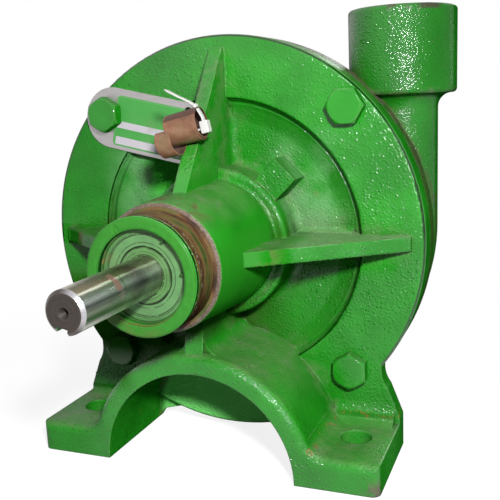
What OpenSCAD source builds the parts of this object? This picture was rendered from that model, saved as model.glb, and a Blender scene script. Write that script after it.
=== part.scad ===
// Foot mounted centrifugal pump with a bare keyed shaft.
// Z is up, the shaft runs along Y with its drive end towards -Y, and the
// origin lies on the base plane, midway between the two foot bolts.

/* [Frame] */
// Height of the shaft centre above the feet
shaft_h = 124; // [121:1:132]
// Distance from the foot bolts to the face of the flange
flange_y = 24; // [20:1:28]
// Diameter of the flange and of the casing joint
flange_d = 238; // [234:1:242]
// Thickness of the flange at its rim
flange_t = 15; // [13:0.5:17]
// Diameter of the shallow recess in the flange face
recess_d = 164; // [156:1:170]
// Depth of that recess
recess_depth = 6.5; // [5.5:0.5:8]
// Fillet at the foot of the recess wall
recess_fillet = 5; // [3:0.5:5.5]
// Rounding of the cast edges
cast_edge = 2.5; // [1.5:0.5:3.5]
// Diameter of the casing bolt circle
bolt_circle_d = 214.4; // [210:0.2:217]

/* [Barrel] */
// Distance from the flange face to the end of the nose
nose_reach = 106; // [102:1:112]
// Diameter of the nose pilot
nose_d = 60; // [57:0.5:62]
// Length of the nose pilot
nose_l = 20.5; // [16:0.5:24]
// Diameter of the barrel at its turned shoulder
shoulder_d = 67.2; // [64:0.4:70]
// Diameter of the barrel where it meets its root ring
root_d = 75; // [72:0.5:80]
// Diameter of the root ring
ring_d = 87.6; // [84:0.4:94]
// Distance that the root ring stands out from the flange face
ring_reach = 16; // [12:1:20]
// Width of the square pad beside the root ring
pad_w = 17; // [12:1:20]
// Distance from the shaft centre to the middle of the pad
pad_r = 51.5; // [49:0.5:54]
// Distance that the pad stands out from the flange face
pad_reach = 12; // [8:1:15]

/* [Ribs] */
// Thickness of the three gussets
rib_t = 8; // [6:0.5:10]
// Distance from the flange face to where a gusset leaves the barrel
rib_reach = 58; // [50:1:66]
// Distance from the shaft centre to where a gusset ends on the rim
rib_top = 111; // [104:1:114]
// Thickness of the web between barrel and saddle
web_t = 11; // [8:0.5:14]
// Fillets between a gusset and the recess, and between web and arch
rib_fillet = 4; // [2:0.5:5]
web_fillet = 10; // [6:0.5:11]

/* [Saddle] */
// Width over both feet
base_w = 208; // [202:1:220]
// Distance from the flange face to the front of the feet
saddle_reach = 57; // [54:1:62]
// Distance from the flange face to the back of the feet
foot_back = 11; // [8:0.5:12.5]
// Thickness of the feet
foot_t = 17; // [14:0.5:20]
// Inner radius of the arch between the feet
arch_r = 57.5; // [52:0.5:60]
// Thickness of the arch
arch_t = 11; // [9:0.5:13]
// Fillet between arch, feet and flange
saddle_fillet = 12; // [8:0.5:14]
// Rounding of the front edge of arch and feet
front_round = 5; // [3:0.5:6]
// Height of the waist where each leg meets the round flange
waist_h = 47; // [43:1:50]
// Distance of that waist from the middle
waist_x = 93.5; // [92:0.5:96]
// Distance between the two foot bolts
foot_bolt_gap = 168; // [160:1:172]
// Diameter of the foot bolt holes
foot_hole_d = 17.5; // [13:0.5:19]

/* [Casing] */
// Thickness of the gasket
gasket_t = 0.5; // [0.3:0.1:1]
// Thickness of the casing flange
casing_flange_t = 15.5; // [14:0.5:17]
// Diameter of the impeller chamber
chamber_d = 159; // [157:0.5:161]
// Distance from the flange face to the middle of the spiral
spiral_y = 46.7; // [46:0.1:48]
// Radius of the spiral tube outside
tube_r = 20.5; // [19.5:0.5:21]
// Wall of the spiral tube
tube_wall = 5.5; // [4.5:0.25:6]
// Distance from the shaft centre to the discharge centre
discharge_x = 97.8; // [96.8:0.2:98.6]
// Growth of the spiral radius in each quarter turn
spiral_step = 7; // [6:0.25:7.5]
// Height of the top of the discharge boss above the feet
discharge_top = 253.4; // [246:0.2:262]
// Diameter of the discharge boss
discharge_boss_d = 62.4; // [60:0.4:64]
// Height of the discharge boss
discharge_boss_h = 48.7; // [44:0.5:52]
// Fillet under the discharge boss
boss_fillet = 8; // [5:0.5:9]
// Bore and depth of the discharge thread
discharge_bore_d = 44.5; // [42:0.5:47]
discharge_depth = 24; // [20:1:27]
// Diameter and end of the suction boss
suction_boss_d = 80; // [76:1:84]
suction_reach = 101; // [97:1:108]
// Bore and depth of the suction thread
suction_bore_d = 57; // [55:0.5:59]
suction_depth = 23; // [20:1:24]
// Thickness of the casing back wall
back_wall = 5; // [4:0.5:6]
// Depth of the casing bolts in the casing flange
bolt_grip = 13; // [11:0.5:13.5]

/* [Shaft] */
// Diameter of the drive end and of the bearing seats
shaft_d = 20; // [19.6:0.1:20]
// Length of the drive end outside the nose
shaft_out = 62; // [54:1:70]
// Width, depth and length of the coupling keyway
keyway_w = 6; // [5:0.5:7]
keyway_depth = 3.5; // [2.5:0.25:4]
keyway_l = 26; // [18:1:27]
// Angle of the keyway when the shaft is at rest
keyway_turn = -104; // [-180:1:180]
// Diameter between the bearings, at the seal and at the impeller
mid_d = 25; // [23:0.5:26]
seal_d = 18; // [17.5:0.1:18.4]
hub_d = 16; // [15:0.5:16.5]
// Diameter of the shaft thread
stud_d = 12; // [10:0.5:13]

/* [Bearings] */
// Bore, outside diameter and width of both ball bearings
bearing_bore = 20; // [20:0.1:20.4]
bearing_od = 47; // [46:0.5:48]
bearing_w = 14; // [13:0.5:15]
// Balls in each bearing, their diameter and their circle
ball_n = 8; // [6:1:8]
ball_d = 7.94; // [7.2:0.02:8]
ball_circle_d = 33.5; // [33:0.1:34]
// Clearance of a ball in its raceway and in its cage
ball_clear = 0.12; // [0.08:0.01:0.2]
// Depth of the front bearing behind the face of the nose
front_depth = 5.4; // [4.6:0.2:8]
// Wire diameter of the retaining ring
ring_wire_d = 1.8; // [1.4:0.1:2.2]
// Distance from the flange face to the rear bearing
rear_reach = 36; // [32:1:40]

/* [Seal] */
// Outside diameter and depth of the seat in the frame
seat_d = 35; // [33:0.5:37]
seat_l = 11; // [9:0.5:12]
// Distance that the seal hub stands behind the flange face
seal_hub_reach = 22; // [21:0.5:23]
// Gap between the two seal faces
face_gap = 0.3; // [0.25:0.05:0.4]
// Wire diameter and coils of the seal spring
spring_wire_d = 1.4; // [1.2:0.1:1.6]
spring_coils = 3; // [2:1:3]

/* [Impeller] */
// Outside diameter of the impeller
impeller_d = 150; // [142:1:152]
// Distance from the flange face to the impeller hub
impeller_y = 38; // [37:0.5:38.5]
// Width of the impeller outlet
outlet_w = 10; // [8:0.5:11]
// Thickness of the shrouds and of the vanes
shroud_t = 2.8; // [2.2:0.1:3.2]
vane_t = 3; // [2.5:0.1:4]
// Number of vanes
vane_n = 5; // [4:1:6]
// Outside diameter and wall of the impeller eye
eye_d = 62; // [60:0.5:62.5]
eye_wall = 3.4; // [3:0.1:4]
// Clearance of the eye in the casing
eye_clear = 0.35; // [0.3:0.05:0.5]

/* [Trim] */
// Width across the flats and height of the casing bolt heads
bolt_af = 19; // [17:0.5:20]
bolt_head = 7.5; // [6:0.5:9]
// Thread diameter of the casing bolts
bolt_d = 12; // [10:0.5:12.5]
// Clearance of the casing bolts in their holes
bolt_clear = 0.6; // [0.3:0.1:1]
// Width, length and thickness of the plate
plate_w = 37; // [33:0.5:40]
plate_l = 57; // [50:1:62]
plate_t = 0.9; // [0.5:0.1:1.5]
// Slope of the plate, and how far its middle lies from the bolt
plate_tilt = -12.6; // [-14:0.2:-11]
plate_drop = -1.2; // [-2:0.2:0]
// Outside diameter, length and thickness of the curled strip
curl_d = 20; // [16:0.5:22]
curl_l = 23; // [18:1:24]
curl_t = 0.7; // [0.5:0.1:1]
// Width and thickness of the cable tie
tie_w = 3.6; // [3:0.1:4.5]
tie_t = 1.2; // [1:0.1:1.6]

/* [Hidden] */
$fn = 64;
cut = 1;
// Distance that the neck and its bore reach down into the end of the spiral
lap = 1;
flange_r = flange_d / 2;
recess_r = recess_d / 2;
bolt_r = bolt_circle_d / 2;
shaft_r = shaft_d / 2;
chamber_r = chamber_d / 2;
arch_out = arch_r + arch_t;
bearing_r = bearing_od / 2;
ball_circle_r = ball_circle_d / 2;
groove_r = ball_d / 2 + ball_clear;
// Places along the shaft, measured from the flange face
nose_y = -nose_reach;
shoulder_y = nose_y + nose_l;
front_y = nose_y + front_depth;
rear_y = -rear_reach;
rear_end = rear_y + bearing_w;
joint_y = flange_t + gasket_t;
casing_face = joint_y + casing_flange_t;
seat_y = seal_hub_reach - seat_l - 1;
face_y = seal_hub_reach - 1;
face_l = 5;
bellows_y = face_y + face_l;
bellows_l = 3;
spring_y = bellows_y + bellows_l;
hub_end = impeller_y + 20;
stud_end = hub_end + 15;
back_y = spiral_y + tube_r - back_wall - 5;
suction_hole_y = suction_reach - suction_depth;
// Spiral: four quarter arcs whose centres lie on the corners of a square
spiral_half = spiral_step / 2;
spiral_centre = [[-1, 1], [-1, -1], [1, -1], [1, 1]] * spiral_half;
spiral_last = discharge_x - spiral_half;
function spiral_r(i) = spiral_last - (3 - i) * spiral_step;
passage_r = tube_r - tube_wall;
throat_w = 18;
// Fillet circle that touches the arch and the top of a foot
fillet_z = foot_t + saddle_fillet;
fillet_x = sqrt(pow(arch_out + saddle_fillet, 2) - pow(fillet_z, 2));
// The fillets between arch and feet stand this much proud of them, and back at the front
fillet_step = 0.15;
fillet_a = asin(fillet_z / (arch_out + saddle_fillet));
leg_top_z = shaft_h - sqrt(pow(flange_r, 2) - pow(waist_x, 2));
// Heads: turn of each hexagon, beginning at the upper left bolt
head_turn = [30, 0, 30, 0];
plate_bolt = 0;
shoulder_bore_r = bearing_r - 5.5;
lip_bore_r = mid_d / 2;
weep_d = 6;
seat_r = seat_d / 2;
hub_r = 15;
eye_r = eye_d / 2;
rib_slope = (rib_top - root_d / 2 + 1) / (rib_reach - 3);
curl_turns = 1.5;

// Turns a profile drawn as [radius, y] about the shaft axis
module turned(angle = 360) {
    translate([0, flange_y, shaft_h]) rotate([-90, 0, 0]) rotate_extrude(angle = angle)
        children();
}

// Plate drawn as [x, z] that spans y0 to y1 from the flange face
module slab(y0, y1) {
    translate([0, flange_y + y1, 0]) rotate([90, 0, 0]) linear_extrude(y1 - y0) children();
}

// Plate drawn as [y, z] with its middle at x
module side_slab(x, w) {
    translate([x - w / 2, flange_y, 0]) rotate([90, 0, 90]) linear_extrude(w) children();
}

// Box in the [radius, y] drawing
module band(r0, r1, y0, y1) {
    translate([r0, y0]) square([r1 - r0, y1 - y0]);
}

// Corner left over between a square corner at [x, y] and a round of radius r
module corner(x, y, sx, sy, r) {
    translate([x, y]) scale([sx, sy]) difference() {
        translate([-cut, -cut]) square(r + cut);
        translate([r, r]) circle(r);
    }
}

// Fillet that fills the inner corner at [x, y]
module fillet(x, y, sx, sy, r) {
    difference() {
        translate([x + (sx < 0 ? -r : -cut), y + (sy < 0 ? -r : -cut)]) square(r + cut);
        translate([x + sx * r, y + sy * r]) circle(r);
    }
}

module at_bolts() {
    for (i = [0:3]) {
        a = 135 - 90 * i;
        translate([bolt_r * cos(a), flange_y, shaft_h + bolt_r * sin(a)]) rotate([-90, 0, 0])
            rotate([0, 0, head_turn[i]]) translate([0, 0, i == plate_bolt ? -plate_t : 0])
                children();
    }
}

// Holes for the casing bolts between y0 and y1
module bolt_holes(r, y0, y1) {
    for (i = [0:3]) {
        a = 135 - 90 * i;
        translate([bolt_r * cos(a), flange_y + y0, shaft_h + bolt_r * sin(a)])
            rotate([-90, 0, 0]) cylinder(r = r, h = y1 - y0);
    }
}

// Bearing frame

module barrel_profile() {
    nose_r = nose_d / 2;
    shoulder_r = shoulder_d / 2;
    polygon([[0, nose_y], [nose_r - 0.8, nose_y], [nose_r, nose_y + 0.8], [nose_r, shoulder_y],
        [shoulder_r - 1.2, shoulder_y], [shoulder_r, shoulder_y + 1.2],
        [root_d / 2, -ring_reach], [root_d / 2, recess_depth + cut], [0, recess_depth + cut]]);
    difference() {
        band(0, ring_d / 2, -ring_reach, recess_depth + cut);
        corner(ring_d / 2, -ring_reach, -1, 1, cast_edge);
    }
    fillet(root_d / 2 - 0.6, -ring_reach, 1, -1, cast_edge);
    fillet(ring_d / 2, recess_depth, 1, -1, recess_fillet);
}

module flange_profile() {
    f = recess_fillet;
    difference() {
        band(0, flange_r, 0, flange_t);
        band(-cut, recess_r - f, -cut, recess_depth);
        band(-cut, recess_r, -cut, recess_depth - f);
        translate([recess_r - f, recess_depth - f]) circle(f);
        corner(recess_r, 0, 1, 1, cast_edge);
        corner(flange_r, 0, -1, 1, cast_edge);
    }
    difference() {
        band(chamber_r - 9, chamber_r - 0.15, flange_t - cut, flange_t + 4.5);
        corner(chamber_r - 0.15, flange_t + 4.5, -1, -1, 1);
    }
    difference() {
        band(0, seat_r + 10, flange_t - cut, seal_hub_reach);
        corner(seat_r + 10, seal_hub_reach, -1, -1, cast_edge);
    }
    fillet(seat_r + 10, flange_t, 1, 1, 4);
}

module rib() {
    low = shoulder_d / 2 - 3;
    foot_y = -rib_reach - (root_d / 2 - 1 - low) / rib_slope;
    side_slab(0, rib_t) translate([0, shaft_h]) polygon([[foot_y, low], [-3, rib_top],
        [recess_depth, rib_top + 1], [recess_depth, low]]);
    for (s = [-1, 1])
        translate([0, flange_y, shaft_h + ring_d / 2 - 1])
            linear_extrude(recess_r - recess_fillet - ring_d / 2 + 1)
                fillet(s * rib_t / 2, recess_depth, s, -1, rib_fillet);
}

module ribs() {
    for (a = [0, 90, -90])
        translate([0, 0, shaft_h]) rotate([0, a, 0]) translate([0, 0, -shaft_h]) rib();
}

module pad() {
    translate([0, 0, shaft_h]) rotate([0, 45, 0]) slab(-pad_reach, recess_depth + cut)
        translate([-pad_w / 2, ring_d / 2 - 3]) square([pad_w, pad_r + pad_w / 2 - ring_d / 2 + 3]);
}

// Web with a sloping front that stands on the arch, and a fillet on each side
module web() {
    half = web_t / 2;
    z = sqrt(pow(arch_out + web_fillet, 2) - pow(half + web_fillet, 2));
    side_slab(0, web_t) polygon([[-saddle_reach + 2.5, arch_out - 4],
        [-saddle_reach + 6, z + 2], [-saddle_reach + 7, shaft_h - root_d / 2 + 8],
        [recess_depth, shaft_h - root_d / 2 + 8], [recess_depth, arch_out - 4]]);
    slab(-saddle_reach + 7, recess_depth) for (s = [-1, 1]) difference() {
        polygon([[s * (half - 1), arch_out - 4], [s * (half - 1), z], [s * (half + web_fillet), z],
            [s * (half + web_fillet), z] * arch_out / (arch_out + web_fillet),
            [s * half, arch_out - 4]]);
        translate([s * (half + web_fillet), z]) circle(web_fillet);
    }
}

// Rounded front edge of the saddle: arch, fillets and feet share it
module arch_profile() {
    difference() {
        band(arch_r, arch_out, -saddle_reach, recess_depth);
        corner(arch_out, -saddle_reach, -1, 1, front_round);
    }
}

module fillet_profile() {
    inner = saddle_fillet - fillet_step;
    front = fillet_step - saddle_reach;
    difference() {
        band(inner, saddle_fillet + arch_t - 1, front, recess_depth);
        corner(inner, front, 1, 1, front_round);
    }
}

module foot_plan() {
    inner = arch_r + 1;
    r = 5;
    difference() {
        translate([inner, -saddle_reach])
            square([base_w / 2 - inner, saddle_reach + foot_back]);
        corner(base_w / 2, -saddle_reach, -1, 1, r);
        corner(base_w / 2, foot_back, -1, -1, 3);
        translate([foot_bolt_gap / 2, -flange_y]) circle(d = foot_hole_d);
    }
}

module foot_side() {
    difference() {
        translate([-saddle_reach, 0]) square([saddle_reach + foot_back, foot_t]);
        corner(-saddle_reach, foot_t, 1, -1, front_round);
    }
}

// Outline of one leg in the plane of the flange
module leg_outline() {
    r = 16;
    slant_x = base_w / 2 - 3;
    difference() {
        polygon([[arch_r, 0], [base_w / 2, 0], [base_w / 2, foot_t + 3],
            [waist_x, waist_h], [waist_x, leg_top_z + 20], [30, leg_top_z + 30], [30, 12],
            [arch_r - 4, 6]]);
        translate([waist_x + r, waist_h + 1]) circle(r);
    }
}

module leg() {
    slab(recess_depth, foot_back) difference() {
        leg_outline();
        translate([0, shaft_h]) circle(flange_r - 4);
    }
    slab(0, foot_back) difference() {
        leg_outline();
        circle(arch_r);
        translate([0, shaft_h]) circle(recess_r + 2);
    }
    // fillet from the flange to the top of the foot
    side_slab((arch_out + base_w / 2) / 2 - 3, base_w / 2 - arch_out) difference() {
        translate([-saddle_fillet, foot_t - 3]) square([saddle_fillet + 1, saddle_fillet + 3]);
        translate([-saddle_fillet, fillet_z]) circle(saddle_fillet);
    }
}

module saddle() {
    translate([0, flange_y, 0]) rotate([-90, 0, 0]) rotate([0, 0, 180])
        rotate_extrude(angle = 180) arch_profile();
    for (s = [-1, 1]) translate([s * fillet_x, flange_y, fillet_z]) rotate([-90, 0, 0])
        rotate([0, 0, s > 0 ? 90 : fillet_a]) rotate_extrude(angle = 90 - fillet_a)
            fillet_profile();
    for (m = [0, 1]) mirror([m, 0, 0]) {
        intersection() {
            translate([0, flange_y, 0]) linear_extrude(foot_t) foot_plan();
            side_slab(base_w / 4, base_w) foot_side();
        }
        difference() {
            leg();
            translate([foot_bolt_gap / 2, 0, foot_t]) cylinder(d = foot_hole_d + 5, h = 30);
        }
    }
}

module bearing_bore_profile() {
    band(0, bearing_r, nose_y - cut, rear_end);
    polygon([[0, nose_y - cut], [bearing_r + 1 + cut, nose_y - cut], [bearing_r, nose_y + 1],
        [0, nose_y + 1]]);
    band(0, bearing_r + ring_wire_d / 2, front_y - ring_wire_d, front_y);
    band(0, shoulder_bore_r, rear_end - cut, 0);
    band(0, lip_bore_r, -cut, seat_y + cut);
    band(0, seat_r, seat_y, seal_hub_reach + cut);
}

module bearing_frame() color("limegreen") difference() {
    union() {
        turned() barrel_profile();
        turned() flange_profile();
        ribs();
        pad();
        web();
        saddle();
    }
    turned() bearing_bore_profile();
    bolt_holes(bolt_d / 2 + bolt_clear, -cut, flange_t + cut);
    // weep hole from the slinger chamber to the lower left
    translate([0, flange_y - ring_reach / 2, shaft_h]) rotate([0, -135, 0])
        cylinder(d = weep_d, h = ring_d);
}

// Volute casing

// Quarter i of the spiral, with its own centre
module spiral_quarter(i, tube, throat_r, y0, y1) {
    c = spiral_centre[i];
    translate([c[0], flange_y, shaft_h + c[1]]) rotate([-90, 0, 0])
        rotate([0, 0, -90 * (i + 1)]) rotate_extrude(angle = 90) {
            translate([spiral_r(i), spiral_y]) circle(tube);
            band(throat_r, spiral_r(i), y0, y1);
        }
}

module discharge_profile() {
    boss_r = discharge_boss_d / 2;
    boss_z = discharge_top - discharge_boss_h;
    difference() {
        band(0, boss_r, boss_z, discharge_top);
        corner(boss_r, discharge_top, -1, -1, cast_edge);
        corner(boss_r, boss_z, -1, 1, cast_edge);
    }
    band(0, tube_r, shaft_h + spiral_half, boss_z + cut);
    band(0, tube_r - lap, shaft_h + spiral_half - lap, boss_z);
    fillet(tube_r, boss_z, 1, -1, boss_fillet);
}

module discharge_bore_profile() {
    r = discharge_bore_d / 2;
    z = discharge_top - discharge_depth;
    band(0, passage_r, shaft_h + spiral_half, discharge_top);
    band(0, passage_r - lap, shaft_h + spiral_half - lap, discharge_top);
    polygon([[0, z - 6], [passage_r, z - 6], [r, z], [r, discharge_top - 2],
        [r + 2, discharge_top + 0.01], [r + 2, discharge_top + cut], [0, discharge_top + cut]]);
}

module casing_profile() {
    boss_r = suction_boss_d / 2;
    difference() {
        band(0, flange_r, joint_y, casing_face);
        corner(flange_r, casing_face, -1, -1, cast_edge);
    }
    band(0, chamber_r + 1, casing_face - cut, back_y + back_wall);
    difference() {
        band(0, boss_r, back_y, suction_reach);
        corner(boss_r, suction_reach, -1, -1, cast_edge);
    }
    fillet(boss_r, back_y + back_wall, 1, 1, 9);
}

module casing_bore_profile() {
    eye_bore = eye_r + eye_clear;
    r = suction_bore_d / 2;
    band(0, chamber_r, joint_y - cut, back_y);
    band(0, eye_bore, back_y - cut, back_y + 10);
    band(0, eye_r - eye_wall, back_y, suction_hole_y + cut);
    polygon([[0, suction_hole_y], [r, suction_hole_y], [r, suction_reach - 2],
        [r + 2, suction_reach + 0.01], [r + 2, suction_reach + cut], [0, suction_reach + cut]]);
}

module volute_casing() color("forestgreen") difference() {
    union() {
        turned() casing_profile();
        for (i = [0:3]) spiral_quarter(i, tube_r, chamber_r - 8, casing_face - cut, spiral_y);
        translate([discharge_x, flange_y + spiral_y, 0]) rotate_extrude() discharge_profile();
        drain_boss();
    }
    turned() casing_bore_profile();
    for (i = [0:3])
        spiral_quarter(i, passage_r, chamber_r - 10, spiral_y - throat_w / 2, spiral_y + throat_w / 2);
    translate([discharge_x, flange_y + spiral_y, 0]) rotate_extrude() discharge_bore_profile();
    bolt_holes(bolt_d / 2, joint_y - cut, joint_y + bolt_grip + 1.5);
    drain_hole();
}

// Drain at the lowest point of the spiral
drain_d = 13;
drain_boss_d = 24;
drain_tilt = 35;

module at_drain() {
    translate([spiral_half, flange_y + spiral_y, shaft_h - spiral_half - spiral_r(2)])
        rotate([180 + drain_tilt, 0, 0]) children();
}

module drain_boss() {
    at_drain() cylinder(d = drain_boss_d, h = tube_r + 2);
}

module drain_hole() {
    at_drain() cylinder(d = drain_d, h = tube_r + 2 + cut);
}

module drain_plug() color("dimgray") at_drain() {
    translate([0, 0, tube_r - 8]) cylinder(d = drain_d, h = 10);
    translate([0, 0, tube_r + 2]) cylinder(d = drain_d + 2, h = 1.2);
    translate([0, 0, tube_r + 3.2]) rotate([0, 0, 45]) cylinder(d = 12, h = 7, $fn = 4);
}

module casing_gasket() color("saddlebrown") difference() {
    turned() band(chamber_r, flange_r - 0.4, flange_t, joint_y);
    bolt_holes(bolt_d / 2 + bolt_clear, 0, 2 * flange_t);
}

module casing_bolts() color("limegreen") at_bolts() {
    corner_r = bolt_af / sqrt(3);
    translate([0, 0, -bolt_head]) intersection() {
        cylinder(r = corner_r, h = bolt_head, $fn = 6);
        rotate_extrude() polygon([[0, 0], [bolt_af / 2 - 0.4, 0], [corner_r + 0.1, 1.5],
            [corner_r + 0.1, bolt_head], [0, bolt_head]]);
    }
    cylinder(d = bolt_d, h = joint_y + bolt_grip);
}

// Shaft

module shaft_profile() {
    end_y = nose_y - shaft_out;
    polygon([[0, end_y], [shaft_r - 1.7, end_y], [shaft_r - 0.05, end_y + 1.6],
        [shaft_r - 0.05, nose_y - 2], [bearing_bore / 2, nose_y],
        [bearing_bore / 2, front_y + bearing_w], [mid_d / 2, front_y + bearing_w],
        [mid_d / 2, rear_y], [bearing_bore / 2, rear_y], [bearing_bore / 2, rear_end],
        [bearing_bore / 2 - 0.7, rear_end], [bearing_bore / 2 - 0.7, rear_end + 1.3],
        [bearing_bore / 2, rear_end + 1.3], [bearing_bore / 2, rear_end + 3],
        [seal_d / 2, rear_end + 4], [seal_d / 2, impeller_y], [hub_d / 2, impeller_y],
        [hub_d / 2, hub_end - 2], [stud_d / 2, hub_end - 2], [stud_d / 2, stud_end - 1],
        [stud_d / 2 - 1, stud_end], [0, stud_end]]);
}

module pump_shaft() color("silver") difference() {
    turned() shaft_profile();
    translate([0, flange_y, shaft_h]) rotate([0, -keyway_turn, 0]) {
        translate([shaft_r - keyway_depth, nose_y - shaft_out - cut, -keyway_w / 2])
            cube([shaft_r, keyway_l + cut, keyway_w]);
        translate([shaft_r - keyway_depth, nose_y - shaft_out + keyway_l, 0])
            rotate([0, 90, 0]) cylinder(d = keyway_w, h = shaft_r);
    }
    turned() polygon([[0, nose_y - shaft_out - cut], [2.6, nose_y - shaft_out - cut],
        [2.6, nose_y - shaft_out], [0, nose_y - shaft_out + 4]]);
    impeller_keyway(hub_d / 2 - 2.2, 2.3);
}

// Slot for the impeller key, from radius r outwards
module impeller_keyway(r, depth) {
    translate([r, flange_y + impeller_y + 3, shaft_h - 2]) cube([depth, 13, 4]);
}

module impeller_key() color("gray") impeller_keyway(hub_d / 2 - 2.2, 4);

module retaining_ring() color("seagreen") translate([0, flange_y, shaft_h]) rotate([-90, 0, 0])
    translate([0, 0, front_y - ring_wire_d / 2]) {
        // the ring is open from 6 to 56 degrees, and each end carries an ear
        rotate([0, 0, -6]) rotate_extrude(angle = 310)
            translate([bearing_r, 0]) circle(d = ring_wire_d, $fn = 24);
        for (a = [-4.5, -57.5]) rotate([0, 0, a]) translate([bearing_r + 0.3, 0, 0])
            rotate([0, -90, 0]) cylinder(d = ring_wire_d - 0.1, h = 4);
    }

// Ball bearings

module outer_race(y0) turned() difference() {
    band(ball_circle_r + 3.4, bearing_r, y0, y0 + bearing_w);
    translate([ball_circle_r, y0 + bearing_w / 2]) circle(groove_r);
    for (y = [y0 - cut, y0 + bearing_w - 1.2])
        band(0, ball_circle_r + 4.1, y, y + 1.2 + cut);
}

module inner_race(y0) turned() difference() {
    band(bearing_bore / 2, ball_circle_r - 2.6, y0, y0 + bearing_w);
    translate([ball_circle_r, y0 + bearing_w / 2]) circle(groove_r);
}

module each_ball(y0) {
    for (i = [0:ball_n - 1]) translate([0, flange_y + y0 + bearing_w / 2, shaft_h])
        rotate([0, (i + 0.5) * 360 / ball_n, 0]) translate([ball_circle_r, 0, 0]) children();
}

module balls(y0) each_ball(y0) sphere(d = ball_d, $fn = 32);

module cage(y0) difference() {
    turned() band(ball_circle_r - 1, ball_circle_r + 1, y0 + bearing_w / 2 - 5.2,
        y0 + bearing_w / 2 + 5.2);
    each_ball(y0) rotate([0, 90, 0]) cylinder(d = ball_d + 2 * ball_clear, h = 8, center = true);
}

module shields(y0) turned() for (y = [y0 + 0.3, y0 + bearing_w - 0.9])
    band(ball_circle_r - 2.2, ball_circle_r + 4.1, y, y + 0.6);

module front_outer_race() color("mediumseagreen") outer_race(front_y);
module front_inner_race() color("mediumseagreen") inner_race(front_y);
module front_cage() color("goldenrod") cage(front_y);
module front_balls() color("white") balls(front_y);
module front_shields() color("palegreen") shields(front_y);
module rear_outer_race() color("lightsteelblue") outer_race(rear_y);
module rear_inner_race() color("lightsteelblue") inner_race(rear_y);
module rear_cage() color("goldenrod") cage(rear_y);
module rear_balls() color("white") balls(rear_y);
module rear_shields() color("lightsteelblue") shields(rear_y);

module shaft_circlip() color("dimgray") difference() {
    turned() band(bearing_bore / 2 - 0.7, bearing_bore / 2 + 2.2, rear_end, rear_end + 1.2);
    translate([-2, flange_y + rear_end - cut, shaft_h]) cube([4, 4, bearing_bore]);
}

module slinger() color("black") turned() {
    y = -6;
    band(seal_d / 2, seal_d / 2 + 3.5, y - 6, y);
    band(seal_d / 2, shoulder_bore_r - 1.2, y - 2, y);
}

// Mechanical seal

module seat_cup() color("black") turned() {
    band(seat_r - 2.5, seat_r, seat_y, seat_y + seat_l - 1);
    band(seal_d / 2 + 2.5, seat_r, seat_y, seat_y + 2);
}

module seal_seat() color("ivory") turned() {
    band(seal_d / 2 + 1.2, seat_r - 2.5, seat_y + 2, face_y - face_gap);
}

module seal_face() color("dimgray") turned() difference() {
    band(seal_d / 2, seal_d / 2 + 4.6, face_y, bellows_y);
    corner(seal_d / 2 + 4.6, face_y, -1, 1, 1);
}

module seal_bellows() color("gainsboro") turned() {
    band(seal_d / 2, seal_d / 2 + 7, bellows_y, spring_y);
    band(seal_d / 2 + 4.8, seal_d / 2 + 7, face_y + 1.5, bellows_y + 0.01);
}

module seal_spring() color("silver") translate([0, flange_y, shaft_h]) rotate([-90, 0, 0]) {
    // half turns of a ring, tilted so that each one meets the next in a small ball
    r = seal_d / 2 + 3.6;
    rise = (impeller_y - spring_y - spring_wire_d) / spring_coils / 2;
    tilt = asin(rise / 2 / r);
    z = spring_y + spring_wire_d / 2;
    for (i = [0:2 * spring_coils - 1])
        translate([0, 0, z + (i + 0.5) * rise]) rotate([0, (i % 2 == 0 ? tilt : -tilt), 0])
            rotate([0, 0, 180 * i + 1]) rotate_extrude(angle = 178)
                translate([r, 0]) circle(d = spring_wire_d, $fn = 16);
    for (i = [1:2 * spring_coils - 1])
        translate([i % 2 == 0 ? r * cos(tilt) : -r * cos(tilt), 0, z + i * rise])
            sphere(d = spring_wire_d + 0.2, $fn = 16);
}

// Impeller

outlet_y = spiral_y - outlet_w / 2;
impeller_r = impeller_d / 2;

module back_shroud_profile() {
    r = 12;
    band(0, hub_r, impeller_y, hub_end);
    band(0, impeller_r, outlet_y - shroud_t, outlet_y);
    fillet(hub_r, outlet_y, 1, 1, r);
}

// Space between the shrouds, from the eye to the outlet
module passage_profile(grow) {
    polygon([[hub_r - 1, outlet_y - grow], [impeller_r - 0.5, outlet_y - grow],
        [impeller_r - 0.5, outlet_y + outlet_w + grow], [45, outlet_y + outlet_w + 2.2 + grow],
        [34, back_y - 3], [eye_r - eye_wall + grow, back_y - 1], [hub_r - 1, back_y - 4]]);
}

module front_shroud_profile() {
    top = outlet_y + outlet_w;
    polygon([[impeller_r, top], [impeller_r, top + shroud_t], [46, top + shroud_t + 2.2],
        [eye_r + 3, back_y - 1.6], [eye_r, back_y - 1.2], [eye_r, back_y + 9],
        [eye_r - eye_wall, back_y + 9], [eye_r - eye_wall, back_y - 3], [33, top + 4.6],
        [45, top + 2.2]]);
}

// One vane: an arc that runs from the eye back to the rim
module vane_outline() {
    inlet = [25, 0];
    sweep = 62;
    curve = 47;
    rim = [impeller_r * cos(sweep), -impeller_r * sin(sweep)];
    mid = (inlet + rim) / 2;
    chord = rim - inlet;
    half = norm(chord) / 2;
    side = [-chord[1], chord[0]] / norm(chord);
    centre = mid - side * sqrt(curve * curve - half * half);
    intersection() {
        difference() {
            circle(impeller_r - 0.3);
            circle(norm(inlet));
        }
        translate(centre) difference() {
            circle(curve + vane_t / 2);
            circle(curve - vane_t / 2);
        }
        polygon([[0, 0], [2 * impeller_r, 0.6 * impeller_r], [2 * impeller_r, -2 * impeller_r],
            [0.2 * impeller_r, -2 * impeller_r]]);
    }
}

module vanes() {
    intersection() {
        slab(outlet_y - 0.3, back_y) translate([0, shaft_h])
            for (i = [0:vane_n - 1]) rotate(i * 360 / vane_n) vane_outline();
        turned() passage_profile(0.4);
    }
}

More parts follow.
